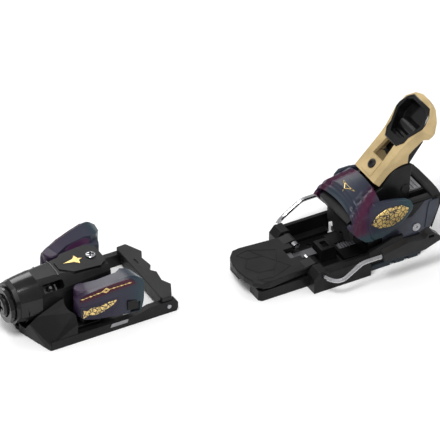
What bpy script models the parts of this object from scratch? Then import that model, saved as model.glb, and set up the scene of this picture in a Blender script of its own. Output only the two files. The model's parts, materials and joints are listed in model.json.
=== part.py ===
"""Step-in ski binding: a toe unit and a heel unit with brake, closed, as separate solids.

Sizes are in millimetres and are turned into metres where a mesh is made.
World frame: origin under the toe unit on the ski's top surface, +X towards the heel,
+Y towards the skier's right, +Z up.  The heel unit has a frame of its own, whose X = 0
is the rear edge of the brake pedal on the heel unit's centre line.
"""

import math

import bmesh
import bpy
from mathutils import Matrix, Vector

MM = 0.001
LEFT, RIGHT = -1, 1          # sign of Y on each side
GAP = 0.3                    # between pieces that touch
RUN = 0.35                   # radial clearance of a turning piece

# ---- toe unit: driving sizes --------------------------------------------------------
TOE_WIDTH = 100.0            # over the side rails
TOE_NOSE_X = -77.0
TOE_REAR_X = 78.0
STAND_HEIGHT = 19.5          # top of the gliding plate
RAIL_WIDTH = 6.5
FLOOR_THICKNESS = 4.0
WINDOW_FRONT_X = 24.0        # the base is open between here and the carrier
HEAD_LIFT = 4.0              # travel of the height screw
HOUSING_FRONT_X = -84.0
HOUSING_REAR_X = 18.0
HOUSING_TOP_Z = 58.5
HOUSING_HALF_WIDTH = 24.0    # where the wings lie beside it
BARREL_Z = 33.0
COLLAR_R = 20.5
WING_PIVOT_X = -20.0
WING_HUB_R = 8.6
WING_TOP_Z = 60.5
WING_BOTTOM_Z = 14.0
WING_FRONT_X = -38.0
WING_REAR_X = 38.0
WING_PIN_R = 3.0
WING_FRONT_OUT = 41.0        # outer face at the wing's front, from the centre line
WING_SWEEP = 0.19            # how fast that face runs outwards
WING_SCOOP_R = 18.0          # of the hollow in the base round a wing's front end
SHOULDER_REAR_X = -33.0
HEIGHT_SCREW_X = 7.0
HEIGHT_SCREW_R = 3.0
TOE_SPRING_R = 12.0
TOE_SPRING_WIRE = 2.8
NUT_SKIRT = 2.3              # thickness of the spring nut's skirt
BARREL_BORE_R = TOE_SPRING_R + RUN + NUT_SKIRT + RUN
TOE_NUT_X = -76.0
TOE_NUT_TRAVEL = 9.0
TOE_ROD_R = 3.6
TOE_SCREW_R = 3.0
TOE_CAP_R = 11.5
AFD_X = 68.0                 # middle of the gliding plate
AFD_LENGTH = 16.0
AFD_TRAVEL = 4.0
KEY_HALF = 3.5               # half width of the key that guides the gliding plate
RIVET_Z = 7.5
RIVET_R = 2.4
SPRING_WALL_X = -30.0        # the wall the toe spring pushes on
CHAMBER_X0, CHAMBER_X1 = -24.0, 1.0
CROSS_HALF = 17.0            # of the pull rod's cross head
COVER_THICKNESS = 2.6
SCREW_HEAD_R = 5.0
INDICATOR_X = -45.0
INDICATOR_R = 2.4
INDICATOR_TILT = 45.0        # degrees from upright, towards the skier's left
SKI_SCREW_R = 2.75
BASE_BOSS_R = HEIGHT_SCREW_R + 3.4

# ---- heel unit: driving sizes -------------------------------------------------------
HEEL_X = 215.7               # the two units as they are laid out
HEEL_Y = -45.4
HEEL_WIDTH = 80.0            # of the base under the carriage
HEEL_BASE_REAR_X = 124.0
TRACK_FRONT_X = 42.0
TRACK_TOP_Z = 11.0
CARRIAGE_FRONT_X = 64.0
CARRIAGE_TRAVEL = 7.5        # each way
WALL_THICKNESS = 4.0
HOUSING_Z = 59.5             # top of the heel housing
MAIN_PIN_X, MAIN_PIN_Z = 118.0, 30.0
MAIN_PIN_R = 3.5
HEEL_SPRING_Z = 47.5
HEEL_SPRING_R = 10.0
HEEL_SPRING_WIRE = 2.5
HEEL_SCREW_R = 3.0
HEEL_NUT_TRAVEL = 6.0
EAR_INNER_Y = 16.5
EAR_THICKNESS = 4.0
CUP_HALF_WIDTH = 37.0
CUP_WALL = 5.0
CUP_SIDE_PLAY = 1.0          # between the cup's cheek and the carriage wall
WALL_INNER_Y = CUP_HALF_WIDTH - CUP_WALL - CUP_SIDE_PLAY - WALL_THICKNESS
LEVER_PIN_X, LEVER_PIN_Z = 111.0, 72.0
LEVER_PIN_R = 2.5
LEVER_ROOT_X, LEVER_ROOT_Z = 75.0, 90.0
LEVER_ANGLE = math.radians(45)
LEVER_HALF_WIDTH = 18.5
LEVER_WALL = 3.5
DISC_R = 28.3
PEDAL_TOP_Z = 21.2
PEDAL_THICKNESS = 8.0
PEDAL_HALF_WIDTH = 33.0
BLOCK_HALF_WIDTH = 46.5
LEDGE_DEPTH = 14.2           # from the brake base's side to the inner edge of its ledge
BRAKE_AXLE_X, BRAKE_AXLE_Z = 4.0, 18.5
WIRE_D = 4.6
ARM_HALF_SPAN = 61.0
TIP_THICKNESS = 9.0
TIP_FRONT_X = 62.0
TIP_LENGTH = 65.0
ARM_RISE = 13.3              # of the wire's rear end above the axle
RACK_HALF = 5.0
RACK_PITCH = 3.0
RACK_FLOOR_Z = 8.4
EAR_HUB_R = 6.5
HEEL_REAR_X = 146.0
TUNNEL_X0 = 82.0
TUNNEL_HALF = 14.0
WINDOW_X0, WINDOW_X1, WINDOW_HALF = 117.0, 135.0, 11.0
FP_SCREW_Z = 15.6
FP_SCREW_R = 3.6
FOLLOWER_X = 71.0
HEEL_NUT_X = 127.5
LEVER_HUB_R = 5.0
HUB_INNER = 10.5
BOLT_A = 13.0                # along the lever from its root
BOLT_R = 2.5
LUG_X0, LUG_X1 = 46.0, 51.0  # the step-in lug's front and rear

# ---- finishes: colour, roughness, metallic ------------------------------------------
FINISHES = {
    "black": ((0.018, 0.018, 0.02), 0.45, 0.0),
    "dark_grey": ((0.045, 0.045, 0.048), 0.5, 0.0),
    "slate": ((0.09, 0.095, 0.14), 0.4, 0.0),
    "gold": ((0.62, 0.47, 0.24), 0.45, 0.0),
    "gold_print": ((0.75, 0.58, 0.25), 0.35, 0.6),
    "steel": ((0.62, 0.62, 0.63), 0.3, 1.0),
    "chrome": ((0.8, 0.8, 0.82), 0.12, 1.0),
    "brass": ((0.6, 0.45, 0.2), 0.35, 1.0),
    "light_grey": ((0.3, 0.3, 0.31), 0.5, 0.0),
}


# ---- helpers ------------------------------------------------------------------------
class Frame:
    """An empty that carries pieces; `at` is its place in the unit's coordinates."""

    def __init__(self, name, at, parent=None):
        self.at = Vector(at)
        self.empty = bpy.data.objects.new(name, None)
        bpy.context.collection.objects.link(self.empty)
        if parent:
            self.empty.parent = parent.empty
            self.empty.location = (self.at - parent.at) * MM
        else:
            self.empty.location = self.at * MM


def finish(obj, look):
    colour, roughness, metallic = FINISHES[look]
    material = bpy.data.materials.new(obj.name + "_finish")
    material.use_nodes = True
    shader = material.node_tree.nodes["Principled BSDF"]
    shader.inputs["Base Color"].default_value = (*colour, 1)
    shader.inputs["Roughness"].default_value = roughness
    shader.inputs["Metallic"].default_value = metallic
    obj.data.materials.append(material)


def put(name, bm, frame, look=None):
    """Make an object of a bmesh in the unit's coordinates; without a look it is a cutter."""
    bmesh.ops.recalc_face_normals(bm, faces=bm.faces)
    if bm.calc_volume(signed=True) < 0:
        bmesh.ops.reverse_faces(bm, faces=bm.faces)
    bmesh.ops.transform(bm, matrix=Matrix.Scale(MM, 4) @ Matrix.Translation(-frame.at), verts=bm.verts)
    mesh = bpy.data.meshes.new(name)
    bm.to_mesh(mesh)
    bm.free()
    obj = bpy.data.objects.new(name, mesh)
    bpy.context.collection.objects.link(obj)
    obj.parent = frame.empty
    if look:
        finish(obj, look)
        mesh.shade_smooth()
        mesh.set_sharp_from_angle(angle=math.radians(30))
    else:
        obj.hide_render = True
        obj.display_type = "WIRE"
    return obj


def boolean(obj, operation, tools, frame):
    for number, tool in enumerate(tools):
        cutter = put(f"{obj.name}_{operation.lower()}_{number}", tool, frame)
        step = obj.modifiers.new(cutter.name, "BOOLEAN")
        step.operation = operation
        step.object = cutter


def solid(name, frame, look, add, cut=()):
    """One closed body: the first mesh of `add`, joined with the rest, less the meshes of `cut`."""
    obj = put(name, add[0], frame, look)
    boolean(obj, "UNION", add[1:], frame)
    boolean(obj, "DIFFERENCE", cut, frame)
    return obj


def loft(rings):
    """A closed body through rings of equally many points."""
    bm = bmesh.new()
    rows = [[bm.verts.new(point) for point in ring] for ring in rings]
    count = len(rings[0])
    for first, second in zip(rows, rows[1:]):
        for i in range(count):
            j = (i + 1) % count
            bm.faces.new((first[i], first[j], second[j], second[i]))
    bm.faces.new(rows[0])
    bm.faces.new(list(reversed(rows[-1])))
    return bm


def prism(outline, axis, low, high):
    """An outline in the plane across `axis`, run from low to high along it."""
    def at(u, v, w):
        return {"X": (w, u, v), "Y": (u, w, v), "Z": (u, v, w)}[axis]
    return loft([[at(u, v, w) for u, v in outline] for w in (low, high)])


def box(x0, x1, y0, y1, z0, z1):
    return prism([(x0, y0), (x1, y0), (x1, y1), (x0, y1)], "Z", z0, z1)


def hull(points):
    bm = bmesh.new()
    for point in points:
        bm.verts.new(point)
    result = bmesh.ops.convex_hull(bm, input=bm.verts)
    loose = {item for item in result["geom_interior"] if isinstance(item, bmesh.types.BMVert)}
    bmesh.ops.delete(bm, geom=list(loose), context="VERTS")
    return bm


def arc(cx, cy, radius, start, end, steps):
    """Points of an arc, with angles in degrees."""
    turn = [math.radians(start + (end - start) * i / steps) for i in range(steps + 1)]
    return [(cx + radius * math.cos(a), cy + radius * math.sin(a)) for a in turn]


def circle(cx, cy, radius, sides):
    return arc(cx, cy, radius, 0, 360 * (sides - 1) / sides, sides - 1)


def turned(profile, axis, centre, sides=16):
    """A round body from (place along axis, radius) pairs about an axis through centre."""
    def ring(place, radius):
        points = []
        for u, v in circle(0, 0, radius, sides):
            points.append({
                "X": (place, centre[0] + u, centre[1] + v),
                "Y": (centre[0] + u, place, centre[1] + v),
                "Z": (centre[0] + u, centre[1] + v, place),
            }[axis])
        return points
    return loft([ring(place, radius) for place, radius in profile])


def rod(axis, centre, low, high, radius, sides=16):
    return turned([(low, radius), (high, radius)], axis, centre, sides)


def cross_recess(axis, centre, face, depth, size):
    """Two crossed slots that cut a screw head at its face."""
    w = size * 0.17
    tools = []
    for a, b in ((size * 0.62, w), (w, size * 0.62)):
        outline = [(centre[0] - a, centre[1] - b), (centre[0] + a, centre[1] - b),
                   (centre[0] + a, centre[1] + b), (centre[0] - a, centre[1] + b)]
        tools.append(prism(outline, axis, *sorted((face, face + depth))))
    return tools


def coil(centre, axis, low, high, radius, wire, turns, steps=12, sides=6):
    """A closed-ended round spring, as a swept ring."""
    rings = []
    total = int(turns * steps)
    mean = radius - wire / 2
    low, high = low + wire / 2, high - wire / 2
    for i in range(total + 1):
        share = i / total
        angle = 2 * math.pi * turns * share
        place = low + (high - low) * share
        ring = []
        for k in range(sides):
            around = 2 * math.pi * k / sides
            reach = mean + wire / 2 * math.cos(around)
            along = place + wire / 2 * math.sin(around)
            u, v = centre[0] + reach * math.cos(angle), centre[1] + reach * math.sin(angle)
            ring.append((along, u, v) if axis == "X" else (u, along, v))
        rings.append(ring)
    return loft(rings)


def mirrored(points, side):
    return [(x, y * side, z) for x, y, z in points]


# ---- toe unit -----------------------------------------------------------------------
def toe_levels():
    """Sizes that follow from the toe unit's driving sizes."""
    half = TOE_WIDTH / 2
    return {
        "half": half,
        "rail_in": half - RAIL_WIDTH,
        "pivot_y": HOUSING_HALF_WIDTH + WING_HUB_R + 0.6,
        "carrier_top": STAND_HEIGHT - 5.5,
        "flange_z": FLOOR_THICKNESS + 1.2,
    }


def make_toe_base(frame):
    t = toe_levels()
    half, rail_in, rail_top = t["half"], t["rail_in"], t["carrier_top"]
    edge = half - 0.75
    nose = [(TOE_NOSE_X, 0), (TOE_NOSE_X + 12, -0.6 * half), (TOE_NOSE_X + 12, -0.86 * half),
            (TOE_NOSE_X + 14, -edge)]
    outline = nose + [(WINDOW_FRONT_X, -edge), (WINDOW_FRONT_X, edge)]
    outline += [(x, -y) for x, y in reversed(nose[1:])]
    floor = prism(outline, "Z", -1, FLOOR_THICKNESS)
    parts = [floor]
    for side in (LEFT, RIGHT):
        profile = [(WING_FRONT_X - 24, -2), (TOE_REAR_X - 3, -2), (TOE_REAR_X, 4), (TOE_REAR_X, rail_top - 4),
                   (TOE_REAR_X - 3, rail_top), (WING_REAR_X + 8, rail_top),
                   (WING_REAR_X - 4, WING_BOTTOM_Z - 4),
                   (WING_FRONT_X - 24, WING_BOTTOM_Z - 4)]
        parts.append(prism(profile, "Y", *sorted((side * rail_in, side * half))))
        wall_x, out = SHOULDER_REAR_X, half - 0.4
        parts.append(hull(mirrored([
            (TOE_NOSE_X + 1, 6, -3), (TOE_NOSE_X + 1, 6, 9), (TOE_NOSE_X + 0.6, 18, 24),
            (TOE_NOSE_X + 12, 0.86 * half, -3),
            (TOE_NOSE_X + 12, 0.86 * half, 5), (TOE_NOSE_X + 14, out, -3), (TOE_NOSE_X + 14, out, 6),
            (wall_x, HOUSING_HALF_WIDTH + 2, 40), (wall_x, out, 22), (wall_x, out, -3),
            (wall_x, 0.88 * half, 33),
            (wall_x, HOUSING_HALF_WIDTH + 2, -3)], side)))
    parts.append(rod("Z", (HEIGHT_SCREW_X, 0), 1, FLOOR_THICKNESS + 6, BASE_BOSS_R))
    low, wide = BARREL_Z - COLLAR_R - 2, HOUSING_HALF_WIDTH + 0.8
    cuts = [prism([(-wide, low + 9.5), (-wide + 7.3, low), (wide - 7.3, low), (wide, low + 9.5), (wide, 90),
                   (-wide, 90)],
                  "X", TOE_NOSE_X - 10, WINDOW_FRONT_X + 5),
            box(TOE_NOSE_X - 20, TOE_REAR_X + 20, -80, 80, -20, 0)]
    for side in (LEFT, RIGHT):
        cuts.append(rod("Z", (WING_PIVOT_X, side * t["pivot_y"]), WING_BOTTOM_Z - 2.5, 90,
                        WING_SCOOP_R, 28))
        flange_y = rail_in - 0.5
        cuts.append(box(WING_FRONT_X - 1, WING_PIVOT_X + 28, *sorted((side * 10, side * flange_y)),
                        FLOOR_THICKNESS + 0.2, WING_BOTTOM_Z + HEAD_LIFT + 1))
    cuts.append(rod("Z", (HEIGHT_SCREW_X, 0), FLOOR_THICKNESS - 2, 30, HEIGHT_SCREW_R + RUN, 12))
    for x, y in ((TOE_NOSE_X + 24, 0), (-12, 18), (-12, -18)):
        cuts.append(rod("Z", (x, y), -5, FLOOR_THICKNESS + 9, SKI_SCREW_R, 10))
    for side in (LEFT, RIGHT):
        cuts.append(rod("Y", (AFD_X, RIVET_Z), *sorted((side * (rail_in - 8), side * (half + 2))),
                        RIVET_R + GAP, 12))
    solid("toe_base", frame, "black", parts, cuts)


def make_gliding_plate(frame, slide):
    t = toe_levels()
    inner = t["rail_in"] - GAP
    x0, x1 = AFD_X - AFD_LENGTH / 2, AFD_X + AFD_LENGTH / 2
    bar = prism([(x0 + 2, -inner), (x1 - 2, -inner), (x1 - 2, inner), (x0 + 2, inner)],
                "Z", 3.5, t["carrier_top"])
    key = box(AFD_X - KEY_HALF, AFD_X + KEY_HALF, -24, 24, 8, t["carrier_top"] + 2)
    holes = [rod("Y", (AFD_X, RIVET_Z), *sorted((side * (inner - 10), side * (inner + 4))), RIVET_R + GAP, 12)
             for side in (LEFT, RIGHT)]
    solid("afd_carrier", frame, "dark_grey", [bar, key], holes)

    half = t["half"]
    edge = [(x0, -half + 4), (x0 + 1, -half + 1), (x1 - 5, -half + 0.5), (x1 + 4, -0.62 * half),
            (x1 - 1, -0.42 * half),
            (x1 + 1, -0.12 * half), (x1 - 4, 0), (x1 + 1, 0.12 * half), (x1 - 1, 0.42 * half),
            (x1 + 4, 0.62 * half), (x1 - 5, half - 0.5), (x0 + 1, half - 1), (x0, half - 4)]
    low = t["carrier_top"] + GAP
    plate = prism([(x, y) for x, y in edge], "Z", low, STAND_HEIGHT)
    groove = box(AFD_X - KEY_HALF - GAP, AFD_X + KEY_HALF + GAP, -24 - AFD_TRAVEL - 1, 24 + AFD_TRAVEL + 1,
                 low - 1, low + 2.2)
    slot = box(x0 + 6, x0 + 8, 0.28 * half, 0.44 * half, STAND_HEIGHT - 1.2, STAND_HEIGHT + 1)
    solid("afd_slider", slide, "dark_grey", [plate], [groove, slot])
    for side, word in ((LEFT, "left"), (RIGHT, "right")):
        ends = sorted((side * (inner - 9), side * (t["half"] + 0.4)))
        solid(f"afd_rivet_{word}", frame, "steel", [rod("Y", (AFD_X, RIVET_Z), *ends, RIVET_R, 12)])


def make_scale_plate(frame):
    t = toe_levels()
    plate = prism([(2, 5.5), (21, 5.5), (22, 9), (20, 9.4), (4, 9.4)],
                  "Y", -t["half"] - 1.0, -t["half"] - GAP)
    solid("toe_scale_plate", frame, "light_grey", [plate])


def housing_ring(x, top, top_half, shoulder, half, belly, bottom, bottom_half):
    return [(x, -top_half, top), (x, top_half, top), (x, half, shoulder), (x, half, belly),
            (x, bottom_half, bottom), (x, -bottom_half, bottom), (x, -half, belly), (x, -half, shoulder)]


def make_toe_housing(frame):
    t = toe_levels()
    z, r = BARREL_Z + 3, COLLAR_R
    top, w = HOUSING_TOP_Z, HOUSING_HALF_WIDTH
    low = FLOOR_THICKNESS + 9
    body = loft([
        housing_ring(HOUSING_FRONT_X, z + r, 8.5, z + 9, r, z - 9, z - r, 8.5),
        housing_ring(-68, top - 1.5, 9, z + 11, w - 1, z - 10, z - r - 1, 10),
        housing_ring(-46, top, 11, z + 11, w, z - 12, z - r - 1.5, 13),
        housing_ring(-30, top, 13, z + 12, w, z - 14, low, 16),
        housing_ring(6, top, 15, top - 8, w - 0.5, low + 8, low, 18),
        housing_ring(HOUSING_REAR_X, top - 2, 17, top - 7, w - 1, low + 8, low + 2, 17),
    ])
    flange_y = t["half"] - RAIL_WIDTH - 1.5
    flange_top = WING_BOTTOM_Z - GAP - 1.5
    flange = prism([(WING_FRONT_X + 2, -0.8 * flange_y), (WING_FRONT_X + 10, -flange_y),
                    (WING_PIVOT_X + 16, -flange_y),
                    (WING_PIVOT_X + 25, -20), (WING_PIVOT_X + 25, 20), (WING_PIVOT_X + 16, flange_y),
                    (WING_FRONT_X + 10, flange_y), (WING_FRONT_X + 2, 0.8 * flange_y)], "Z", t["flange_z"],
                    flange_top)
    neck = box(WING_FRONT_X + 6, WING_PIVOT_X + 20, -14, 14, t["flange_z"] + 1, low + 6)
    chamber = box(CHAMBER_X0, CHAMBER_X1, -CROSS_HALF - 1, CROSS_HALF + 1, BARREL_Z - 7, BARREL_Z + 7)
    boss_clear = rod("Z", (HEIGHT_SCREW_X, 0), 0, low + 3, BASE_BOSS_R + 0.8, 16)
    cuts = [
        rod("X", (0, BARREL_Z), HOUSING_FRONT_X - 5, SPRING_WALL_X, BARREL_BORE_R, 24),
        rod("X", (0, BARREL_Z), SPRING_WALL_X - 5, CHAMBER_X0 + 3, TOE_ROD_R + RUN, 12),
        chamber,
        box(CHAMBER_X0 + 3, CHAMBER_X1 - 3, -7, 7, 0, BARREL_Z),
        rod("Z", (HEIGHT_SCREW_X, 0), -5, 90, HEIGHT_SCREW_R + RUN, 12),
        boss_clear,
        prism([(-32, -17), (-20, -17.5), (HOUSING_REAR_X + 5, -21), (HOUSING_REAR_X + 5, 21), (-20, 17.5),
               (-32, 17)], "Z", top - COVER_THICKNESS, top + 10),
    ]
    seen_to = INDICATOR_X + TOE_NUT_TRAVEL + INDICATOR_R
    window = prism([(-54, -4), (seen_to - 0.6, -4), (seen_to + 0.9, -2.6), (seen_to + 0.9, 2.6),
                    (seen_to - 0.6, 4),
                    (-54, 4)], "Z", BARREL_BORE_R - 3, 40)
    bmesh.ops.transform(window, matrix=Matrix.Translation((0, 0, BARREL_Z)) @ Matrix.Rotation(
        math.radians(INDICATOR_TILT), 4, "X"), verts=window.verts)
    cuts.append(window)
    for side in (LEFT, RIGHT):
        cuts.append(rod("Z", (WING_PIVOT_X, side * t["pivot_y"]), -2, flange_top + 5, WING_PIN_R + GAP, 14))
    solid("toe_housing", frame, "black", [body, flange, neck], cuts)


def make_toe_head(frame):
    t = toe_levels()
    make_toe_housing(frame)
    top = HOUSING_TOP_Z
    low = top - COVER_THICKNESS + GAP
    cover = loft([[(-30.5, -6, z), (-19, -16.2, z), (9, -19, z), (HOUSING_REAR_X - 0.5, -12, z),
                   (HOUSING_REAR_X - 0.5, 12, z), (9, 19, z), (-19, 16.2, z), (-30.5, 6, z)]
                  for z in (low, top + 1.2)])
    solid("toe_top_cover", frame, "black", [cover],
          [rod("Z", (HEIGHT_SCREW_X, 0), low - 1, top + 5, HEIGHT_SCREW_R + RUN, 12),
           rod("Z", (HEIGHT_SCREW_X, 0), top - 0.8, top + 5, SCREW_HEAD_R + RUN, 16)])
    bezel = rod("X", (0, BARREL_Z - 0.5), HOUSING_FRONT_X - 5.5, HOUSING_FRONT_X - GAP, COLLAR_R - 2.5, 24)
    bore = rod("X", (0, BARREL_Z), HOUSING_FRONT_X - 10, HOUSING_FRONT_X + 5, TOE_CAP_R + 0.8, 20)
    solid("toe_bezel", frame, "black", [bezel], [bore])
    for side, word in ((LEFT, "left"), (RIGHT, "right")):
        place = (WING_PIVOT_X, side * t["pivot_y"])
        pin = turned([(t["flange_z"] - 0.5, WING_PIN_R), (WING_TOP_Z - 9.5, WING_PIN_R)], "Z", place, 14)
        solid(f"wing_pin_{word}", frame, "steel", [pin])
    spring = coil((0, BARREL_Z), "X", TOE_NUT_X + 6 + GAP, SPRING_WALL_X - GAP, TOE_SPRING_R,
                  TOE_SPRING_WIRE, 6)
    solid("toe_spring", frame, "steel", [spring])


def make_toe_screws(height, din, nut, rod_frame):
    top = HOUSING_TOP_Z
    head = turned([(FLOOR_THICKNESS + 0.5, HEIGHT_SCREW_R), (top - 0.5, HEIGHT_SCREW_R),
                   (top - 0.5, SCREW_HEAD_R),
                   (top + 2.2, SCREW_HEAD_R), (top + 3, SCREW_HEAD_R - 1.2)], "Z", (HEIGHT_SCREW_X, 0), 16)
    solid("toe_height_screw", height, "chrome", [head],
          cross_recess("Z", (HEIGHT_SCREW_X, 0), top + 3.5, -2.2, SCREW_HEAD_R))
    front = HOUSING_FRONT_X - 9
    cap = turned([(front, TOE_CAP_R - 2.5), (front + 1.8, TOE_CAP_R), (HOUSING_FRONT_X + 2, TOE_CAP_R),
                  (HOUSING_FRONT_X + 2, TOE_SCREW_R), (SPRING_WALL_X - 14, TOE_SCREW_R)], "X", (0, BARREL_Z),
                  20)
    solid("toe_release_screw", din, "dark_grey", [cap],
          cross_recess("X", (0, BARREL_Z), front - 0.5, 2.8, TOE_CAP_R - 1.5))
    skirt_r = BARREL_BORE_R - RUN
    cup = rod("X", (0, BARREL_Z), TOE_NUT_X, INDICATOR_X + 4, skirt_r, 24)
    hollow = rod("X", (0, BARREL_Z), TOE_NUT_X + 6, INDICATOR_X + 10, TOE_SPRING_R + RUN, 24)
    hole = rod("X", (0, BARREL_Z), TOE_NUT_X - 2, INDICATOR_X, TOE_SCREW_R + RUN, 12)
    socket = rod("Z", (INDICATOR_X, 0), TOE_SPRING_R - 1, BARREL_BORE_R + 5, INDICATOR_R + GAP, 10)
    tilt = Matrix.Translation((0, 0, BARREL_Z)) @ Matrix.Rotation(math.radians(INDICATOR_TILT), 4, "X")
    bmesh.ops.transform(socket, matrix=tilt, verts=socket.verts)
    solid("toe_spring_nut", nut, "steel", [cup], [hollow, hole, socket])
    foot = TOE_SPRING_R + 0.9
    pin = turned([(foot, INDICATOR_R), (foot + 8.1, INDICATOR_R), (foot + 9.1, INDICATOR_R - 1)],
                 "Z", (INDICATOR_X, 0), 10)
    bmesh.ops.transform(pin, matrix=tilt, verts=pin.verts)
    solid("toe_indicator_pin", nut, "chrome", [pin])
    rod_front = SPRING_WALL_X - 11
    pull = rod("X", (0, BARREL_Z), rod_front, CHAMBER_X0 + 14, TOE_ROD_R, 12)
    cross = box(CHAMBER_X0 + 10, CHAMBER_X0 + 16, -CROSS_HALF, CROSS_HALF, BARREL_Z - 5.5, BARREL_Z + 5.5)
    solid("toe_pull_rod", rod_frame, "steel", [pull, cross])


def make_wing(frame, side, word):
    t = toe_levels()
    px, py = WING_PIVOT_X, t["pivot_y"]
    low, top = WING_BOTTOM_Z, WING_TOP_Z
    hub = rod("Z", (px, side * py), low + 6, top - 8, WING_HUB_R, 20)
    rear = WING_REAR_X
    inner = HOUSING_HALF_WIDTH + 2.0

    def out(x, tuck=0.0):
        return WING_FRONT_OUT + (x - WING_FRONT_X) * WING_SWEEP - tuck
    f = WING_FRONT_X + 4
    plate = hull(mirrored([
        (f, out(f, 3.5), low + 12), (f, out(f, 3.5), top - 20), (f + 3, out(f + 3), low + 8),
        (f + 3, out(f + 3), top - 16),
        (f + 4, out(f, 8), low + 10), (f + 6, out(f, 9), top - 12), (px, out(px), low + 2), (px, out(px, 6),
                                                                                             low + 3),
        (0, out(0), low), (0, out(0, 12), low + 1), (rear - 13, out(rear - 13), low + 1),
        (rear - 14, out(24, 12), low + 3),
        (rear - 7, out(rear - 7), low + 6), (px + 5, out(px + 5), top - 8), (5, out(5), top - 3),
        (rear - 15, out(rear - 15), top), (rear - 8, out(rear - 8), top - 0.5), (rear, out(rear, 0.6),
                                                                                 top - 8),
        (px + 8, inner + 6, top - 8.5), (5, inner + 4, top - 5.5), (rear - 15, inner + 2, top - 4.5),
        (rear - 4, out(rear - 4, 15), top - 4.5)], side))
    jaw = hull(mirrored([
        (rear - 4, out(rear, 6), top - 8), (rear - 4, out(rear, 6), low + 9), (rear - 9, out(rear, 6),
                                                                               low + 5),
        (rear - 12, inner, top - 10), (rear - 12, inner, low + 8), (rear - 20, inner, top - 8),
        (rear - 26, inner + 2, low + 8), (rear - 26, out(12, 6), low + 6), (rear - 26, out(12, 10),
                                                                            top - 9)], side))
    pin = rod("Z", (px, side * py), 0, top - 9, WING_PIN_R + GAP, 14)
    pad = pad_box(side, GAP)
    solid(f"toe_wing_{word}", frame, "slate", [plate, hub, jaw], [pin, pad])
    solid(f"jaw_pad_{word}", frame, "black", [pad_box(side, 0)])


def pad_box(side, grow):
    outer_face = WING_FRONT_OUT + (WING_REAR_X - 12 - WING_FRONT_X) * WING_SWEEP
    out = outer_face + 0.6 if grow == 0 else outer_face + 8
    inner = HOUSING_HALF_WIDTH + 1.0 if grow == 0 else HOUSING_HALF_WIDTH - 6
    x0, z0 = WING_REAR_X - 18, WING_BOTTOM_Z + 8
    return box(x0 - grow, x0 + 11 + grow, *sorted((side * inner, side * out)), z0 - grow, z0 + 11 + grow)


def make_toe():
    t = toe_levels()
    base = Frame("toe_base_frame", (0, 0, 0))
    make_toe_base(base)
    make_gliding_plate(base, Frame("afd_slide_frame", (AFD_X, 0, t["carrier_top"]), base))
    make_scale_plate(base)
    head = Frame("toe_head_frame", (HEIGHT_SCREW_X, 0, FLOOR_THICKNESS), base)
    make_toe_head(head)
    axis = (HOUSING_FRONT_X, 0, BARREL_Z)
    make_toe_screws(Frame("height_screw_frame", (HEIGHT_SCREW_X, 0, HOUSING_TOP_Z), head),
                    Frame("toe_release_frame", axis, head),
                    Frame("toe_nut_frame", (TOE_NUT_X, 0, BARREL_Z), head),
                    Frame("toe_rod_frame", (CHAMBER_X0, 0, BARREL_Z), head))
    for side, word in ((LEFT, "left"), (RIGHT, "right")):
        pivot = Frame(f"wing_{word}_frame", (WING_PIVOT_X, side * t["pivot_y"], WING_BOTTOM_Z), head)
        make_wing(pivot, side, word)


# ---- heel unit ----------------------------------------------------------------------
def make_heel_base(frame):
    half = HEEL_WIDTH / 2
    lift = 5.0
    waist = BLOCK_HALF_WIDTH - LEDGE_DEPTH - 0.8
    outline = [(10.3, -waist), (61, -waist), (61, -half), (HEEL_BASE_REAR_X - 6, -half),
               (HEEL_BASE_REAR_X, -half + 6),
               (HEEL_BASE_REAR_X, half - 6), (HEEL_BASE_REAR_X - 6, half), (61, half), (61, waist),
               (10.3, waist)]
    floor = prism(outline, "Z", 0, lift)
    track = prism([(-18, lift - 1), (18, lift - 1), (18, 8), (22, 8), (22, TRACK_TOP_Z), (-22, TRACK_TOP_Z),
                   (-22, 8), (-18, 8)], "X", TRACK_FRONT_X, HEEL_BASE_REAR_X - 1.5)
    groove = box(TRACK_FRONT_X + 3, HEEL_BASE_REAR_X + 5, -RACK_HALF - GAP, RACK_HALF + GAP, RACK_FLOOR_Z,
                 TRACK_TOP_Z + 2)
    cuts = [groove]
    for x, y in ((26, 22), (26, -22), (104, 28), (104, -28)):
        cuts.append(rod("Z", (x, y), -1, lift + 1, SKI_SCREW_R, 10))
    for x in (84, 100, 116):
        for side in (LEFT, RIGHT):
            cuts.append(box(x, x + 5, *sorted((side * (half - 2.2), side * (half + 3))), -1, lift - 1.6))
    solid("heel_base", frame, "slate", [floor, track], cuts)

    front, rear, low = TRACK_FRONT_X + 3.4, HEEL_BASE_REAR_X - 2, RACK_FLOOR_Z + GAP
    tip, root, half_pitch = TRACK_TOP_Z - 0.3, TRACK_TOP_Z - 1.3, RACK_PITCH / 2
    teeth = [(front, low), (rear, low)]
    x = rear
    while x - RACK_PITCH > front:
        teeth += [(x, tip), (x - half_pitch, tip), (x - half_pitch, root), (x - RACK_PITCH, root)]
        x -= RACK_PITCH
    teeth += [(front, root)]
    solid("track_rack", frame, "steel", [prism(teeth, "Y", -RACK_HALF, RACK_HALF)])


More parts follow.
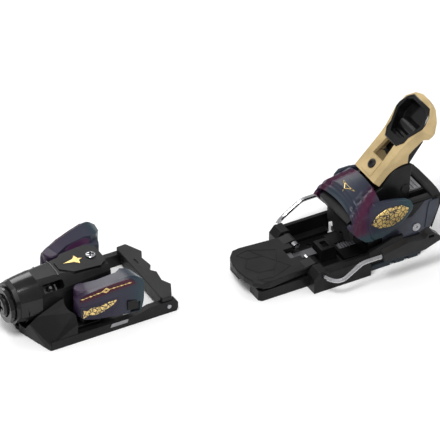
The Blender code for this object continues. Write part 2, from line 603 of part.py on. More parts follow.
def make_brake_base(frame):
    b, ax, az = BLOCK_HALF_WIDTH, BRAKE_AXLE_X, BRAKE_AXLE_Z
    pedal_low = PEDAL_TOP_Z - PEDAL_THICKNESS
    foot = PEDAL_HALF_WIDTH - 1
    front = prism([(-61, -foot + 3), (-58, -foot), (-5, -foot), (-5, foot), (-58, foot), (-61, foot - 3),
                   (-61, 12), (-52, 9), (-52, -9), (-61, -12)], "Z", 0, pedal_low - 1.6)
    cross = box(-7, 9, -b, b, 0, 10.5)
    parts = [front, cross]
    for side in (LEFT, RIGHT):
        parts.append(prism([(-7, 0), (9, 0), (9, 22), (7, 23.8), (-1, 23.8), (-7, 17)], "Y",
                           *sorted((side * (b - 15), side * b))))
        wall = [(side * b, 0), (side * b, 20), (side * (b - 3.5), 23.8), (side * (b - 7.5), 23.8),
                (side * (b - 7.5), 0)]
        parts.append(prism(wall, "X", 7, 58))
        ledge = [(side * (b - 6), 0), (side * (b - 6), 9), (side * (b - LEDGE_DEPTH), 7.5),
                 (side * (b - LEDGE_DEPTH), 0)]
        parts.append(prism(ledge, "X", 7, 53))
    cuts = [rod("Y", (ax, az), -b - 5, b + 5, WIRE_D / 2 + GAP, 12)]
    cuts.append(box(ax - 12, ax + 8, -b + 15.5, b - 15.5, 10, 40))
    for side in (LEFT, RIGHT):
        cuts.append(box(24, 36, *sorted((side * (b - 2), side * (b + 3))), 6, 12))
    solid("brake_base", frame, "black", parts, cuts)

    link = prism([(-11, 13.2), (-9, 13.2), (-9, 15.4), (-6, 15.4), (-4, 13.2), (18, 13.2), (19, 12.2),
                  (21, 12.2),
                  (19.4, 15), (-3.2, 15), (-5.4, 17.8), (-11, 17.8)], "Y", -5.5, 5.5)
    solid("brake_link", frame, "steel", [link])
    latch = hull([(21.4, -10, 5.3), (40, -10, 5.3), (21.4, 10, 5.3), (40, 10, 5.3), (23, -9, 19),
                  (38, -9, 19),
                  (23, 9, 19), (38, 9, 19)])
    slot = box(27, 34, -5, 5, 15, 25)
    solid("latch_block", frame, "black", [latch], [slot])


def make_pedal(frame):
    ax, az = BRAKE_AXLE_X, BRAKE_AXLE_Z
    w, top, low = PEDAL_HALF_WIDTH, PEDAL_TOP_Z, PEDAL_TOP_Z - PEDAL_THICKNESS
    edge = [(-1.5, -w + 4), (-50, -w), (-57, -w + 1), (-64, -w + 9), (-68, -12), (-69, 0), (-68, 12),
            (-64, w - 9), (-57, w - 1), (-50, w), (-1.5, w - 4)]
    plate = loft([[(x * 0.985, y * 0.97, low) for x, y in edge], [(x, y, low + 2) for x, y in edge],
                  [(x, y, top - 1) for x, y in edge], [(x * 0.985, y * 0.97, top) for x, y in edge]])
    lug_in, lug_out = 16, w - 4.5
    lugs = []
    for side in (LEFT, RIGHT):
        outline = [(-8, low + 0.5)] + arc(ax, az, 4.4, -90, 90, 6) + [(-8, top - 0.2)]
        lugs.append(prism(outline, "Y", *sorted((side * lug_in, side * lug_out))))
    notch = box(-12.5, 10, -8, 8, 0, 40)
    hole = rod("Y", (ax, az), -lug_out - 5, lug_out + 5, WIRE_D / 2 + GAP, 12)
    solid("brake_pedal", frame, "black", [plate] + lugs, [notch, hole])


def arm_route(side):
    """The bent wire of one brake arm, from its inner end to the end inside its tip."""
    s, ax, az = ARM_HALF_SPAN, BRAKE_AXLE_X, BRAKE_AXLE_Z
    bends = [(ax, 8.5, az), (ax, BLOCK_HALF_WIDTH + 4, az), (ax + 7, s - 3, az - 1.5), (ax + 14, s, az),
             (ax + 35, s, az + ARM_RISE), (TIP_FRONT_X + 18, s, az + ARM_RISE)]
    return [(x, side * y, z) for x, y, z in bends]


def wire(points, radius, sides=8, corner=5.0, steps=3):
    """A round bar through points, each inner corner rounded."""
    route = [Vector(points[0])]
    for before, here, after in zip(points, points[1:], points[2:]):
        before, here, after = Vector(before), Vector(here), Vector(after)
        start = here + (before - here).normalized() * min(corner, (before - here).length * 0.45)
        end = here + (after - here).normalized() * min(corner, (after - here).length * 0.45)
        for i in range(steps + 1):
            u = i / steps
            route.append(start * (1 - u) ** 2 + here * 2 * u * (1 - u) + end * u ** 2)
    route.append(Vector(points[-1]))
    rings = []
    side = Vector((0, 0, 1))
    for i, point in enumerate(route):
        ahead = (route[min(i + 1, len(route) - 1)] - route[max(i - 1, 0)]).normalized()
        side = (side - ahead * side.dot(ahead)).normalized()
        across = ahead.cross(side)
        turn = [2 * math.pi * k / sides for k in range(sides)]
        rings.append([tuple(point + (side * math.cos(a) + across * math.sin(a)) * radius) for a in turn])
    return loft(rings)


def make_brake_arms(frame):
    az = BRAKE_AXLE_Z + ARM_RISE
    for side, word in ((LEFT, "left"), (RIGHT, "right")):
        solid(f"brake_arm_{word}", frame, "chrome", [wire(arm_route(side), WIRE_D / 2)])
        x0, x1 = TIP_FRONT_X, TIP_FRONT_X + TIP_LENGTH
        outline = [(x0, az - 4.5), (x0 + 47, az - 5.5), (x1, az + 1), (x1 - 1, az + 6), (x1 - 9, az + 13),
                   (x1 - 15, az + 12), (x1 - 19, az + 8), (x0 + 27, az + 10), (x0 + 14, az + 7),
                   (x0, az + 4.5)]
        y0 = ARM_HALF_SPAN - TIP_THICKNESS / 2
        tip = prism(outline, "Y", *sorted((side * y0, side * (y0 + TIP_THICKNESS))))
        bore = rod("X", (side * ARM_HALF_SPAN, az), x0 - 5, x0 + 18 + GAP, WIRE_D / 2 + GAP, 12)
        slot = box(x1 - 14, x1 - 8, *sorted((side * (y0 - 2), side * (y0 + TIP_THICKNESS + 2))),
                   az + 7, az + 10)
        solid(f"brake_tip_{word}", frame, "dark_grey", [tip], [bore, slot])


def make_brake_spring(frame):
    spring = coil((BRAKE_AXLE_X, BRAKE_AXLE_Z), "Y", 9.2, 15.6, 4.2, 1.3, 4, steps=10, sides=5)
    solid("brake_spring", frame, "steel", [spring])


def around_main_pin(radius, start, end, steps):
    return arc(MAIN_PIN_X, MAIN_PIN_Z, radius, start, end, steps)


def make_carriage(frame):
    half = HEEL_WIDTH / 2 - 2
    y0, y1 = WALL_INNER_Y, WALL_INNER_Y + WALL_THICKNESS
    top = HOUSING_Z
    block_top = MAIN_PIN_Z - EAR_HUB_R - 2
    low = TRACK_TOP_Z + GAP
    block = prism([(-half, 5.3), (-23, 5.3), (-18.6, 5.3), (-18.6, 7.6), (-22.6, 7.6), (-22.6, low),
                   (22.6, low),
                   (22.6, 7.6), (18.6, 7.6), (18.6, 5.3), (half, 5.3), (half, 15), (half - 4, block_top),
                   (-half + 4, block_top), (-half, 15)], "X", CARRIAGE_FRONT_X, 122)
    parts = [block]
    rear = HEEL_REAR_X
    for side in (LEFT, RIGHT):
        reach = MAIN_PIN_X - CARRIAGE_FRONT_X + 1
        wall = [(CARRIAGE_FRONT_X + 1.2, block_top - 4)]
        wall += around_main_pin(reach, 183, 180 - math.degrees(math.asin((top - MAIN_PIN_Z) / reach)), 6)
        wall += [(rear, top), (rear, top - 12), (rear - 14, block_top - 4)]
        parts.append(prism(wall, "Y", *sorted((side * y0, side * y1))))
        leg = [(61, 12), (61, 21), (88, 30), (100, 30), (100, 12)]
        parts.append(prism(leg, "Y", *sorted((side * (half - 4), side * (half - 0.5)))))
    low_z = MAIN_PIN_Z + MAIN_PIN_R + 1.0
    parts.append(box(TUNNEL_X0, rear, -TUNNEL_HALF, TUNNEL_HALF, low_z, top))
    parts.append(prism([(rear - 9, top), (rear, top), (rear, top - 12), (rear - 9, 22)], "Y", -y1, y1))
    parts.append(box(108, 120.5, -TUNNEL_HALF + 1, TUNNEL_HALF - 1, block_top - 1.2, low_z + 1))
    cuts = [
        rod("X", (0, HEEL_SPRING_Z), TUNNEL_X0 - 5, rear - 8, HEEL_SPRING_R + 0.8, 24),
        rod("X", (0, HEEL_SPRING_Z), rear - 12, rear + 5, HEEL_SCREW_R + RUN, 12),
        rod("Y", (MAIN_PIN_X, MAIN_PIN_Z), -60, 60, MAIN_PIN_R + GAP, 16),
        rod("X", (0, FP_SCREW_Z), 100, 140, FP_SCREW_R + RUN, 14),
        box(WINDOW_X0 - GAP, WINDOW_X1 + GAP, -WINDOW_HALF - GAP, WINDOW_HALF + GAP, top - 0.9, top + 5),
    ]
    for side in (LEFT, RIGHT):
        cuts.append(box(WINDOW_X0 + 14, 133, *sorted((side * (y1 - 0.4), side * (y1 + 4))), 47, 49))
    solid("heel_carriage", frame, "black", parts, cuts)


def make_heel_trim(frame):
    top, rear = HOUSING_Z, HEEL_REAR_X
    cap = prism([(137, top + GAP), (rear + GAP, top + GAP), (rear + GAP, 33), (rear + 2.4, 36),
                 (rear + 4.6, 48),
                 (rear + 3.6, top - 2), (rear + 1, top + 3.4), (139, top + 3.8), (137, top + 2)],
                 "Y", -24, 24)
    solid("heel_rear_cap", frame, "black", [cap],
          [rod("X", (0, HEEL_SPRING_Z), rear - 5, rear + 20, 7.6, 16)])
    ribs = [(WINDOW_X0, top - 0.6), (WINDOW_X1, top - 0.6), (WINDOW_X1, top + 0.6)]
    for i in range(4):
        right = WINDOW_X1 - i * 4.6
        ribs += [(right - 0.2, top + 1.6), (right - 3.0, top + 1.6), (right - 3.2, top + 0.6)]
    ribs += [(WINDOW_X0, top + 0.6)]
    solid("heel_scale_window", frame, "light_grey", [prism(ribs, "Y", -WINDOW_HALF, WINDOW_HALF)])
    y = WALL_INNER_Y + WALL_THICKNESS + GAP
    panel = [(128, 26), (134, 26), (143, 48), (143, 57), (133, 57), (131, 50)]
    for side, word in ((LEFT, "left"), (RIGHT, "right")):
        solid(f"heel_side_panel_{word}", frame, "slate", [prism(panel, "Y", *sorted((side * y,
                                                                                     side * (y + 1.6))))])
    pin = turned([(-y - 1.6, 4.6), (-y, 4.6), (-y, MAIN_PIN_R), (y, MAIN_PIN_R), (y, 4.6), (y + 1.6, 4.6)],
                 "Y",
                 (MAIN_PIN_X, MAIN_PIN_Z), 16)
    solid("heel_main_pin", frame, "steel", [pin], [rod("Y", (MAIN_PIN_X, MAIN_PIN_Z),
                                                       -y - 3, -y - 0.6, 1.6, 8)])


def make_heel_spring_set(carriage, follower, nut, din, fp):
    z = HEEL_SPRING_Z
    body_x = FOLLOWER_X + 9
    solid("cam_follower", follower, "steel", [turned([
        (FOLLOWER_X, 3.5), (FOLLOWER_X + 1.5, 5), (body_x, 5), (body_x + 1, HEEL_SPRING_R),
        (body_x + 8, HEEL_SPRING_R)],
        "X", (0, z), 18)])
    solid("heel_spring", carriage, "steel", [coil((0, z), "X", body_x + 8 + GAP, HEEL_NUT_X - GAP,
                                                  HEEL_SPRING_R,
                                                  HEEL_SPRING_WIRE, 6)])
    solid("heel_spring_nut", nut, "brass",
          [rod("X", (0, z), HEEL_NUT_X, HEEL_NUT_X + 6, HEEL_SPRING_R, 18)],
          [rod("X", (0, z), HEEL_NUT_X - 2, HEEL_NUT_X + 9, HEEL_SCREW_R + RUN, 12)])
    face = HEEL_REAR_X + 5.6
    screw = turned([(HEEL_NUT_X - 8, HEEL_SCREW_R), (HEEL_REAR_X + GAP, HEEL_SCREW_R), (HEEL_REAR_X + GAP, 7),
                    (face - 1, 7), (face, 6)], "X", (0, z), 16)
    solid("heel_release_screw", din, "steel", [screw], cross_recess("X", (0, z), face + 0.5, -2.4, 6))
    fp_screw = turned([(101, FP_SCREW_R), (122 + GAP, FP_SCREW_R), (122 + GAP, 4.6), (127, 4.6), (128, 3.8)],
                      "X", (0, FP_SCREW_Z), 14)
    solid("forward_pressure_screw", fp, "steel", [fp_screw], cross_recess("X", (0, FP_SCREW_Z),
                                                                          128.5, -2.4, 4.2))


def cup_section(x, half, low, side_top, corner, top):
    inner_top, inner_corner = top - CUP_WALL + 0.5, corner - 2
    hw = half - CUP_WALL
    outer = [(-half, low), (-half, side_top), (-corner, top), (corner, top), (half, side_top), (half, low)]
    inner = [(hw, low), (hw, side_top - 2), (inner_corner, inner_top), (-inner_corner, inner_top),
             (-hw, side_top - 2),
             (-hw, low)]
    return [(x, y, z) for y, z in outer + inner]


def ear_outline():
    px, pz, lx, lz = MAIN_PIN_X, MAIN_PIN_Z, LEVER_PIN_X, LEVER_PIN_Z
    disc = arc(lx, lz, DISC_R, 161, 85, 6)
    hub = arc(px, pz, EAR_HUB_R, 20, -100, 5)
    return ([(62, 70), (63, 80.5), (70.3, 83), (77, 79)] + disc + [(lx + 4.6, lz + DISC_R - 2),
                                                                   (lx + 4.6, lz - 10)] + hub
            + [(74, 40.5), (62.5, 43), (61, 60)])


def make_cup(frame):
    w = CUP_HALF_WIDTH
    hood = loft([
        cup_section(38, w - 2, 57, 61, 23, 66),
        cup_section(48, w - 0.5, 48, 64, 24, 76),
        cup_section(58, w, 37, 66, 24, 82),
        cup_section(71, w, 38, 67, 21, 86.5),
    ])
    parts = [hood]
    cheek = [(58, 38), (64, 32.5), (86, 37), (104, 48), (111.5, 58), (109, 67), (96, 72), (74, 74), (58, 68)]
    for side in (LEFT, RIGHT):
        inner, outer = side * (w - CUP_WALL), side * w
        bevel_in = [(x * 0.94 + 5, z * 0.92 + 4.4) for x, z in cheek]
        parts.append(loft([[(x, inner, z) for x, z in cheek], [(x, outer - side * 1.5, z) for x, z in cheek],
                           [(x, outer + side * 0.3, z) for x, z in bevel_in]]))
        y0, y1 = side * EAR_INNER_Y, side * (EAR_INNER_Y + EAR_THICKNESS)
        parts.append(prism(ear_outline(), "Y", *sorted((y0, y1))))
    parts.append(box(63, 69, -EAR_INNER_Y - 1, EAR_INNER_Y + 1, 44, 51))
    holes = [rod("Y", (MAIN_PIN_X, MAIN_PIN_Z), -25, 25, MAIN_PIN_R + GAP, 16),
             rod("Y", (LEVER_PIN_X, LEVER_PIN_Z), -25, 25, LEVER_PIN_R + GAP, 12)]
    solid("heel_cup", frame, "slate", parts, holes)

    insert = prism([(40.5, 57), (42, 52), (60.7, 50), (60.7, 62), (48, 62.5), (41, 58.8)], "Y",
                   -w + CUP_WALL + 4, w - CUP_WALL - 4)
    solid("cup_insert", frame, "black", [insert], [box(LUG_X0 - GAP, LUG_X1 + GAP, -22 - GAP, 22 + GAP, 40,
                                                       56)])
    lug = [(-22, 55.5), (-22, 30), (-16, 27), (-12, 27), (-10, 33), (-4, 33), (-2, 27), (10, 27), (12, 33),
           (16, 33),
           (18, 29), (22, 32), (22, 55.5)]
    solid("step_in_lug", frame, "dark_grey", [prism(lug, "X", LUG_X0, LUG_X1)])
    badge = [(62, 55), (68, 64), (80, 69), (96, 68), (105, 62), (104, 57), (97, 50), (86, 46), (72, 48)]
    for side, word in ((LEFT, "left"), (RIGHT, "right")):
        y = side * (w + 0.3 + GAP)
        solid(f"cup_badge_{word}", frame, "gold_print", [prism(badge, "Y", *sorted((y, y + side * 0.9)))])


def lever_point(a, n, b):
    """Lever coordinates: a along it from its root, n to the side, b behind its front face."""
    c, s = math.cos(LEVER_ANGLE), math.sin(LEVER_ANGLE)
    return (LEVER_ROOT_X + a * c + b * s, n, LEVER_ROOT_Z + a * s - b * c)


def lever_place(x, z):
    """The (a, b) of a point of the heel unit's side plane."""
    c, s = math.cos(LEVER_ANGLE), math.sin(LEVER_ANGLE)
    dx, dz = x - LEVER_ROOT_X, z - LEVER_ROOT_Z
    return dx * c + dz * s, dx * s - dz * c


def lever_across(outline, b0, b1):
    return loft([[lever_point(a, n, b) for a, n in outline] for b in (b0, b1)])


def lever_side(outline, n0, n1):
    return loft([[lever_point(a, n, b) for a, b in outline] for n in (n0, n1)])


def symmetric(half_outline):
    return half_outline + [(a, -n) for a, n in reversed(half_outline) if n]


def make_lever(frame):
    w = LEVER_HALF_WIDTH
    pa, pb = lever_place(LEVER_PIN_X, LEVER_PIN_Z)
    disc_gap = DISC_R + 0.7
    face = symmetric([(0, w), (42, w), (50, w + 1), (60, w + 3.5), (72, w + 7), (86, w + 5), (95, w - 3),
                      (98.5, 6)])
    start = math.degrees(math.atan2(-pb, -pa)) + 10
    side_outline = [(0, 0)]
    hollow_arc = [(a, b) for a, b in arc(pa, pb, disc_gap, start, start + 60, 8)]
    hollow_arc = [(a, b) for a, b in hollow_arc if a > 0]
    side_outline += [(0, hollow_arc[0][1])] + hollow_arc
    side_outline += [(43, 14), (64, 12.5), (67, 17), (76, 17.4), (85, 12), (97, 6), (99, 0)]
    outer = lever_across(face, 0, 26)
    body = put("lever", outer, frame, "gold")
    boolean(body, "INTERSECT", [lever_side(side_outline, -w - 9, w + 9)], frame)
    inner = w - LEVER_WALL
    hub_a = [(3, 5), (28, 5), (29, 13), (pa + 6, pb)] + arc(pa, pb, LEVER_HUB_R, 20, 160, 5)
    hub_a += [(pa - 6, pb - 10), (4, 9)]
    hubs = [lever_side(hub_a, *sorted((side * HUB_INNER, side * (EAR_INNER_Y - 0.8)))) for side in (LEFT,
                                                                                                    RIGHT)]
    cavity = lever_across([(-5, -inner), (62, -inner), (62, inner), (-5, inner)], 4, 40)
    boolean(body, "DIFFERENCE", [cavity], frame)
    boolean(body, "UNION", hubs, frame)
    window = symmetric([(22, 9.5), (42, 7.5)])
    bolt = lever_across(circle(BOLT_A, 0, BOLT_R + GAP, 12), -2, 8)
    hole = lever_across(pocket_outline(GAP), -3, 40)
    pin = rod("Y", (LEVER_PIN_X, LEVER_PIN_Z), -25, 25, LEVER_PIN_R + GAP, 12)
    boolean(body, "DIFFERENCE", [lever_across(window, -3, 6), bolt, hole, pin], frame)

    cup = put("lever_pocket", lever_across(pocket_outline(0), -0.8, 13), frame, "black")
    inside = symmetric([(53, 11), (60, 15), (72, 20.5), (84, 19), (88.5, 12)])
    deep = symmetric([(50, 9), (53.5, 11), (53.5, 9)])
    boolean(cup, "DIFFERENCE", [lever_across(inside, -3, 10.5), lever_across(deep, -3, 4)], frame)
    liner = lever_side([(32, 15), (60, 14), (61.5, 22), (33, 26)], -inner + GAP, inner - GAP)
    solid("lever_liner", frame, "black", [liner])
    bolt_body = loft([[lever_point(a, n, b) for a, n in circle(BOLT_A, 0, r, 14)] for b, r in (
        (-1.8, 3.6), (-1.2, 4.8), (-GAP, 4.8), (-GAP, BOLT_R), (9, BOLT_R))])
    socket = lever_across(circle(BOLT_A, 0, 2.3, 6), -3, -0.6)
    solid("lever_bolt", frame, "dark_grey", [bolt_body], [socket])
    pin_y = EAR_INNER_Y + EAR_THICKNESS
    solid("lever_pin", frame, "steel", [rod("Y", (LEVER_PIN_X, LEVER_PIN_Z), -pin_y, pin_y, LEVER_PIN_R, 12)])


def pocket_outline(grow):
    half = [(43.5, 9.5), (50, 15.5), (57, 16), (72, 23.5), (77, 23.5), (86, 19.5), (91.5, 14)]
    return symmetric([(a + (grow if a > 60 else -grow), n + grow) for a, n in half])


def make_heel():
    unit = Frame("heel_unit_frame", (0, 0, 0))
    unit.empty.location = Vector((HEEL_X, HEEL_Y, 0)) * MM
    make_heel_base(unit)
    make_brake_base(unit)
    make_brake_spring(unit)
    axle = (BRAKE_AXLE_X, 0, BRAKE_AXLE_Z)
    make_pedal(Frame("pedal_frame", axle, unit))
    make_brake_arms(Frame("brake_arm_frame", axle, unit))
    carriage = Frame("carriage_frame", (CARRIAGE_FRONT_X, 0, TRACK_TOP_Z), unit)
    make_carriage(carriage)
    make_heel_trim(carriage)
    spring_axis = (HEEL_REAR_X, 0, HEEL_SPRING_Z)
    make_heel_spring_set(carriage,
                         Frame("follower_frame", (FOLLOWER_X, 0, HEEL_SPRING_Z), carriage),
                         Frame("heel_nut_frame", (HEEL_NUT_X, 0, HEEL_SPRING_Z), carriage),
                         Frame("heel_screw_frame", spring_axis, carriage),
                         Frame("forward_pressure_frame", (CARRIAGE_FRONT_X, 0, FP_SCREW_Z), carriage))
    cup = Frame("heel_cup_frame", (MAIN_PIN_X, 0, MAIN_PIN_Z), carriage)
    make_cup(cup)
    make_lever(Frame("lever_frame", (LEVER_PIN_X, 0, LEVER_PIN_Z), cup))


def main():
    for obj in list(bpy.data.objects):
        bpy.data.objects.remove(obj)
    make_toe()
    make_heel()
    bpy.context.view_layer.update()


main()
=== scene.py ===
"""Step-in ski binding: looks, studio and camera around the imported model.

Places in the functions below are millimetres: toe pieces in the model's own frame, heel
pieces from the heel unit's own zero (the pedal's rear edge on its centre line, at ski level).
"""

import json
import math

import bmesh
import bpy
from mathutils import Matrix, Vector


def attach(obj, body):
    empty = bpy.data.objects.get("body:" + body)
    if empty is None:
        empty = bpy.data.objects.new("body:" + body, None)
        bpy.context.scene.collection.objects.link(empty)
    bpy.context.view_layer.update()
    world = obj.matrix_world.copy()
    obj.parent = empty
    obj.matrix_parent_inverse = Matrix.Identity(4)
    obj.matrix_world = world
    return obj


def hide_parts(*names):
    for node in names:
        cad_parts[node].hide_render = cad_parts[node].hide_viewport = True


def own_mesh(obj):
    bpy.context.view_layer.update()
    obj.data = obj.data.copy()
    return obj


MM = 0.001
LEFT, RIGHT = -1, 1
SIDES = ((LEFT, "left"), (RIGHT, "right"))

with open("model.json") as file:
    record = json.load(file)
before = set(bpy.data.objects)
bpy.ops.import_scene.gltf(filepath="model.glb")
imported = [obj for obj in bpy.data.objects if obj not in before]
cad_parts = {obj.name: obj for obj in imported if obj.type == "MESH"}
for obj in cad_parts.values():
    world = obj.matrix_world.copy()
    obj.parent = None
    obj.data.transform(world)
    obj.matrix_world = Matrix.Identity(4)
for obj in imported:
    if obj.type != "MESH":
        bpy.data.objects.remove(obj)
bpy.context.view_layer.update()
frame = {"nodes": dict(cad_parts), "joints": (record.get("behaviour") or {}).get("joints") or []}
NODES = frame["nodes"]
JOINTS = {joint["name"]: joint for joint in frame["joints"]}
AXLE_FROM_ZERO = Vector((4.0, 0.0, 18.5))
TOE = Vector((0, 0, 0))
HEEL = Vector(JOINTS["brake_arm_swing"]["pos_m"]) / MM - AXLE_FROM_ZERO

BLACK = (0.0045, 0.0045, 0.005)
SLATE = (0.021, 0.025, 0.040)
PURPLE = (0.028, 0.010, 0.032)
MAROON = (0.052, 0.005, 0.026)
TEAL = (0.006, 0.036, 0.044)


# ---- node materials -------------------------------------------------------------------
class Shader:
    """A material with short calls for its nodes."""

    def __init__(self, name, colour, roughness, metallic=0.0):
        self.material = bpy.data.materials.new(name)
        self.material.use_nodes = True
        self.tree = self.material.node_tree
        self.surface = self.tree.nodes["Principled BSDF"]
        self.put("Base Color", (*colour, 1))
        self.put("Roughness", roughness)
        self.put("Metallic", metallic)
        self.place = self.node("ShaderNodeTexCoord").outputs["Object"]

    def node(self, kind, **settings):
        node = self.tree.nodes.new(kind)
        for name, value in settings.items():
            setattr(node, name, value)
        return node

    def put(self, socket, value):
        if isinstance(value, bpy.types.NodeSocket):
            self.tree.links.new(value, self.surface.inputs[socket])
        else:
            self.surface.inputs[socket].default_value = value

    def wire(self, node, index, value):
        if isinstance(value, bpy.types.NodeSocket):
            self.tree.links.new(value, node.inputs[index])
        else:
            node.inputs[index].default_value = value

    def math(self, operation, *values):
        node = self.node("ShaderNodeMath", operation=operation)
        for index, value in enumerate(values):
            self.wire(node, index, value)
        return node.outputs[0]

    def times(self, first, second):
        return self.math("MULTIPLY", first, second)

    def inverse(self, share):
        return self.math("SUBTRACT", 1.0, share)

    def axis(self, which):
        """One coordinate of the place on the piece, in millimetres of its unit."""
        parts = self.node("ShaderNodeSeparateXYZ")
        self.wire(parts, 0, self.place)
        return self.times(parts.outputs[which], 1 / MM)

    def noise(self, scale, detail=3.0, stretch=(1, 1, 1)):
        mapping = self.node("ShaderNodeMapping")
        self.wire(mapping, "Vector", self.place)
        mapping.inputs["Scale"].default_value = stretch
        node = self.node("ShaderNodeTexNoise")
        self.wire(node, "Vector", mapping.outputs[0])
        node.inputs["Scale"].default_value = scale
        node.inputs["Detail"].default_value = detail
        return node.outputs["Fac"]

    def cell_edges(self, scale):
        """How far the place is from the nearest edge between irregular cells."""
        node = self.node("ShaderNodeTexVoronoi", feature="DISTANCE_TO_EDGE")
        self.wire(node, "Vector", self.place)
        node.inputs["Scale"].default_value = scale
        return node.outputs["Distance"]

    def ramp(self, value, low, high):
        """0 below low, 1 above high, smooth between."""
        node = self.node("ShaderNodeMapRange", interpolation_type="SMOOTHSTEP")
        self.wire(node, "Value", value)
        node.inputs["From Min"].default_value = low
        node.inputs["From Max"].default_value = high
        return node.outputs[0]

    def mix(self, share, first, second):
        node = self.node("ShaderNodeMix", data_type="RGBA")
        self.wire(node, 0, share)
        for index, colour in ((6, first), (7, second)):
            is_socket = isinstance(colour, bpy.types.NodeSocket)
            self.wire(node, index, colour if is_socket else (*colour, 1))
        return node.outputs[2]

    def bump(self, height, strength, distance=0.0002):
        node = self.node("ShaderNodeBump")
        node.inputs["Strength"].default_value = strength
        node.inputs["Distance"].default_value = distance
        self.wire(node, "Height", height)
        self.put("Normal", node.outputs[0])

    def vary_roughness(self, middle, spread, scale=60.0):
        amount = self.math("MULTIPLY_ADD", self.noise(scale), 2 * spread, middle - spread)
        self.put("Roughness", amount)

    def tint_clouds(self, colour, clouds, share, gain):
        """The colour with soft clouds of a lighter slate over it."""
        return self.mix(self.times(clouds, share), colour, tuple(c * gain for c in SLATE))

    def finish_lacquer(self, colour, roughness, spread, coat, coat_roughness):
        self.put("Base Color", colour)
        self.vary_roughness(roughness, spread, 80.0)
        self.put("Specular IOR Level", 0.19)
        self.put("Coat Weight", coat)
        self.put("Coat Roughness", coat_roughness)
        self.bump(self.noise(1500.0, 2.0), 0.05)


def plastic(name, colour, roughness=0.42, grain=1400.0, depth=0.12, coat=0.0):
    """Moulded plastic: fine spark-eroded grain, faint flow clouds and handling marks."""
    s = Shader(name, colour, roughness)
    clouds = s.noise(45.0, 4.0)
    lighter = tuple(min(1, c * 1.35 + 0.003) for c in colour)
    s.put("Base Color", s.mix(s.ramp(clouds, 0.35, 0.7), colour, lighter))
    s.vary_roughness(roughness, 0.07)
    s.put("Specular IOR Level", 0.17)
    s.put("Coat Weight", coat)
    s.put("Coat Roughness", 0.15)
    s.bump(s.noise(grain, 2.0), depth)
    return s.material


def metal(name, colour, roughness, brushed=(1, 1, 1), depth=0.08):
    """Plated or bare metal with fine drawing lines along the long direction."""
    s = Shader(name, colour, roughness, 1.0)
    lines = s.noise(900.0, 3.0, brushed)
    darker = tuple(c * 0.78 for c in colour)
    s.put("Base Color", s.mix(s.ramp(s.noise(120.0), 0.4, 0.75), colour, darker))
    s.put("Roughness", s.math("MULTIPLY_ADD", lines, 0.16, roughness - 0.08))
    s.bump(lines, depth, 0.0001)
    return s.material


def wing_lacquer(name):
    """The wings' satin lacquer: slate that turns purple towards the front and teal at the rear."""
    s = Shader(name, SLATE, 0.3)
    x = s.axis(0)
    purple = s.inverse(s.ramp(x, -30.0, 34.0))
    teal = s.ramp(x, 20.0, 40.0)
    colour = s.mix(s.times(purple, 0.85), SLATE, PURPLE)
    colour = s.mix(s.times(teal, 0.8), colour, TEAL)
    colour = s.tint_clouds(colour, s.ramp(s.noise(38.0, 3.0), 0.3, 0.75), 0.35, 1.4)
    s.finish_lacquer(colour, 0.34, 0.06, 0.08, 0.2)
    return s.material


def printed(name, ground, ink, scale):
    """Foil print of a plain crackle pattern: ink patches with fine dark lines through them."""
    s = Shader(name, ink, 0.34)
    lines = s.ramp(s.cell_edges(scale), 0.05, 0.10)
    patches = s.ramp(s.noise(scale * 0.55, 2.0), 0.47, 0.53)
    hatch = s.ramp(s.noise(scale * 2.2, 1.0, (1.0, 1.0, 3.0)), 0.42, 0.5)
    inked = s.times(lines, s.math("MAXIMUM", patches, hatch))
    s.put("Base Color", s.mix(inked, ground, ink))
    s.put("Metallic", s.times(inked, 0.75))
    s.bump(inked, 0.25, 0.00008)
    return s.material


def heel_base_plastic():
    """Slate on the base's outer sides, black inside the brake and under the carriage."""
    s = Shader("heel_base_plastic", SLATE, 0.36)
    y = s.math("ABSOLUTE", s.math("SUBTRACT", s.axis(1), HEEL.y))
    outer = s.ramp(y, 36.5, 38.5)
    clouds = s.ramp(s.noise(45.0, 4.0), 0.35, 0.7)
    outside = s.mix(clouds, (0.016, 0.023, 0.03), (0.022, 0.03, 0.038))
    s.put("Base Color", s.mix(outer, BLACK, outside))
    s.vary_roughness(0.36, 0.07)
    s.put("Specular IOR Level", 0.17)
    s.bump(s.noise(1400.0, 2.0), 0.1)
    return s.material


MATERIALS = {
    "black": plastic("black_plastic", BLACK, 0.36),
    "black_gloss": plastic("black_gloss_plastic", BLACK, 0.2, depth=0.04, coat=0.3),
    "soft_black": plastic("soft_black_plastic", (0.006, 0.006, 0.0065), 0.45, 900.0, 0.25),
    "graphite": plastic("graphite_plastic", (0.012, 0.012, 0.013), 0.4),
    "grey": plastic("light_grey_plastic", (0.2, 0.2, 0.21), 0.45),
    "slate": plastic("slate_plastic", (0.03, 0.033, 0.048), 0.32, 1500.0, 0.06, 0.2),
    "gold": plastic("gold_plastic", (0.40, 0.30, 0.152), 0.46, 1300.0, 0.1),
    "steel": metal("zinc_steel", (0.36, 0.36, 0.38), 0.32),
    "dark_steel": metal("dark_steel", (0.16, 0.16, 0.17), 0.32),
    "chrome": metal("chrome_wire", (0.5, 0.5, 0.52), 0.2, (0.1, 1, 1), 0.03),
    "brass": metal("brass", (0.6, 0.45, 0.2), 0.3),
    "foil": printed("gold_foil", (0.012, 0.01, 0.02), (0.83, 0.6, 0.22), 210.0),
    "stripe": plastic("dark_red_foil", (0.038, 0.003, 0.013), 0.3, depth=0.03, coat=0.15),
    "base_slate": heel_base_plastic(),
    "plum": plastic("plum_lacquer", (0.045, 0.014, 0.045), 0.34, depth=0.04, coat=0.2),
    "slate_dark": plastic("dark_slate_plastic", (0.016, 0.015, 0.028), 0.36),
    "gold_ink": metal("gold_ink", (0.85, 0.62, 0.25), 0.35),
}


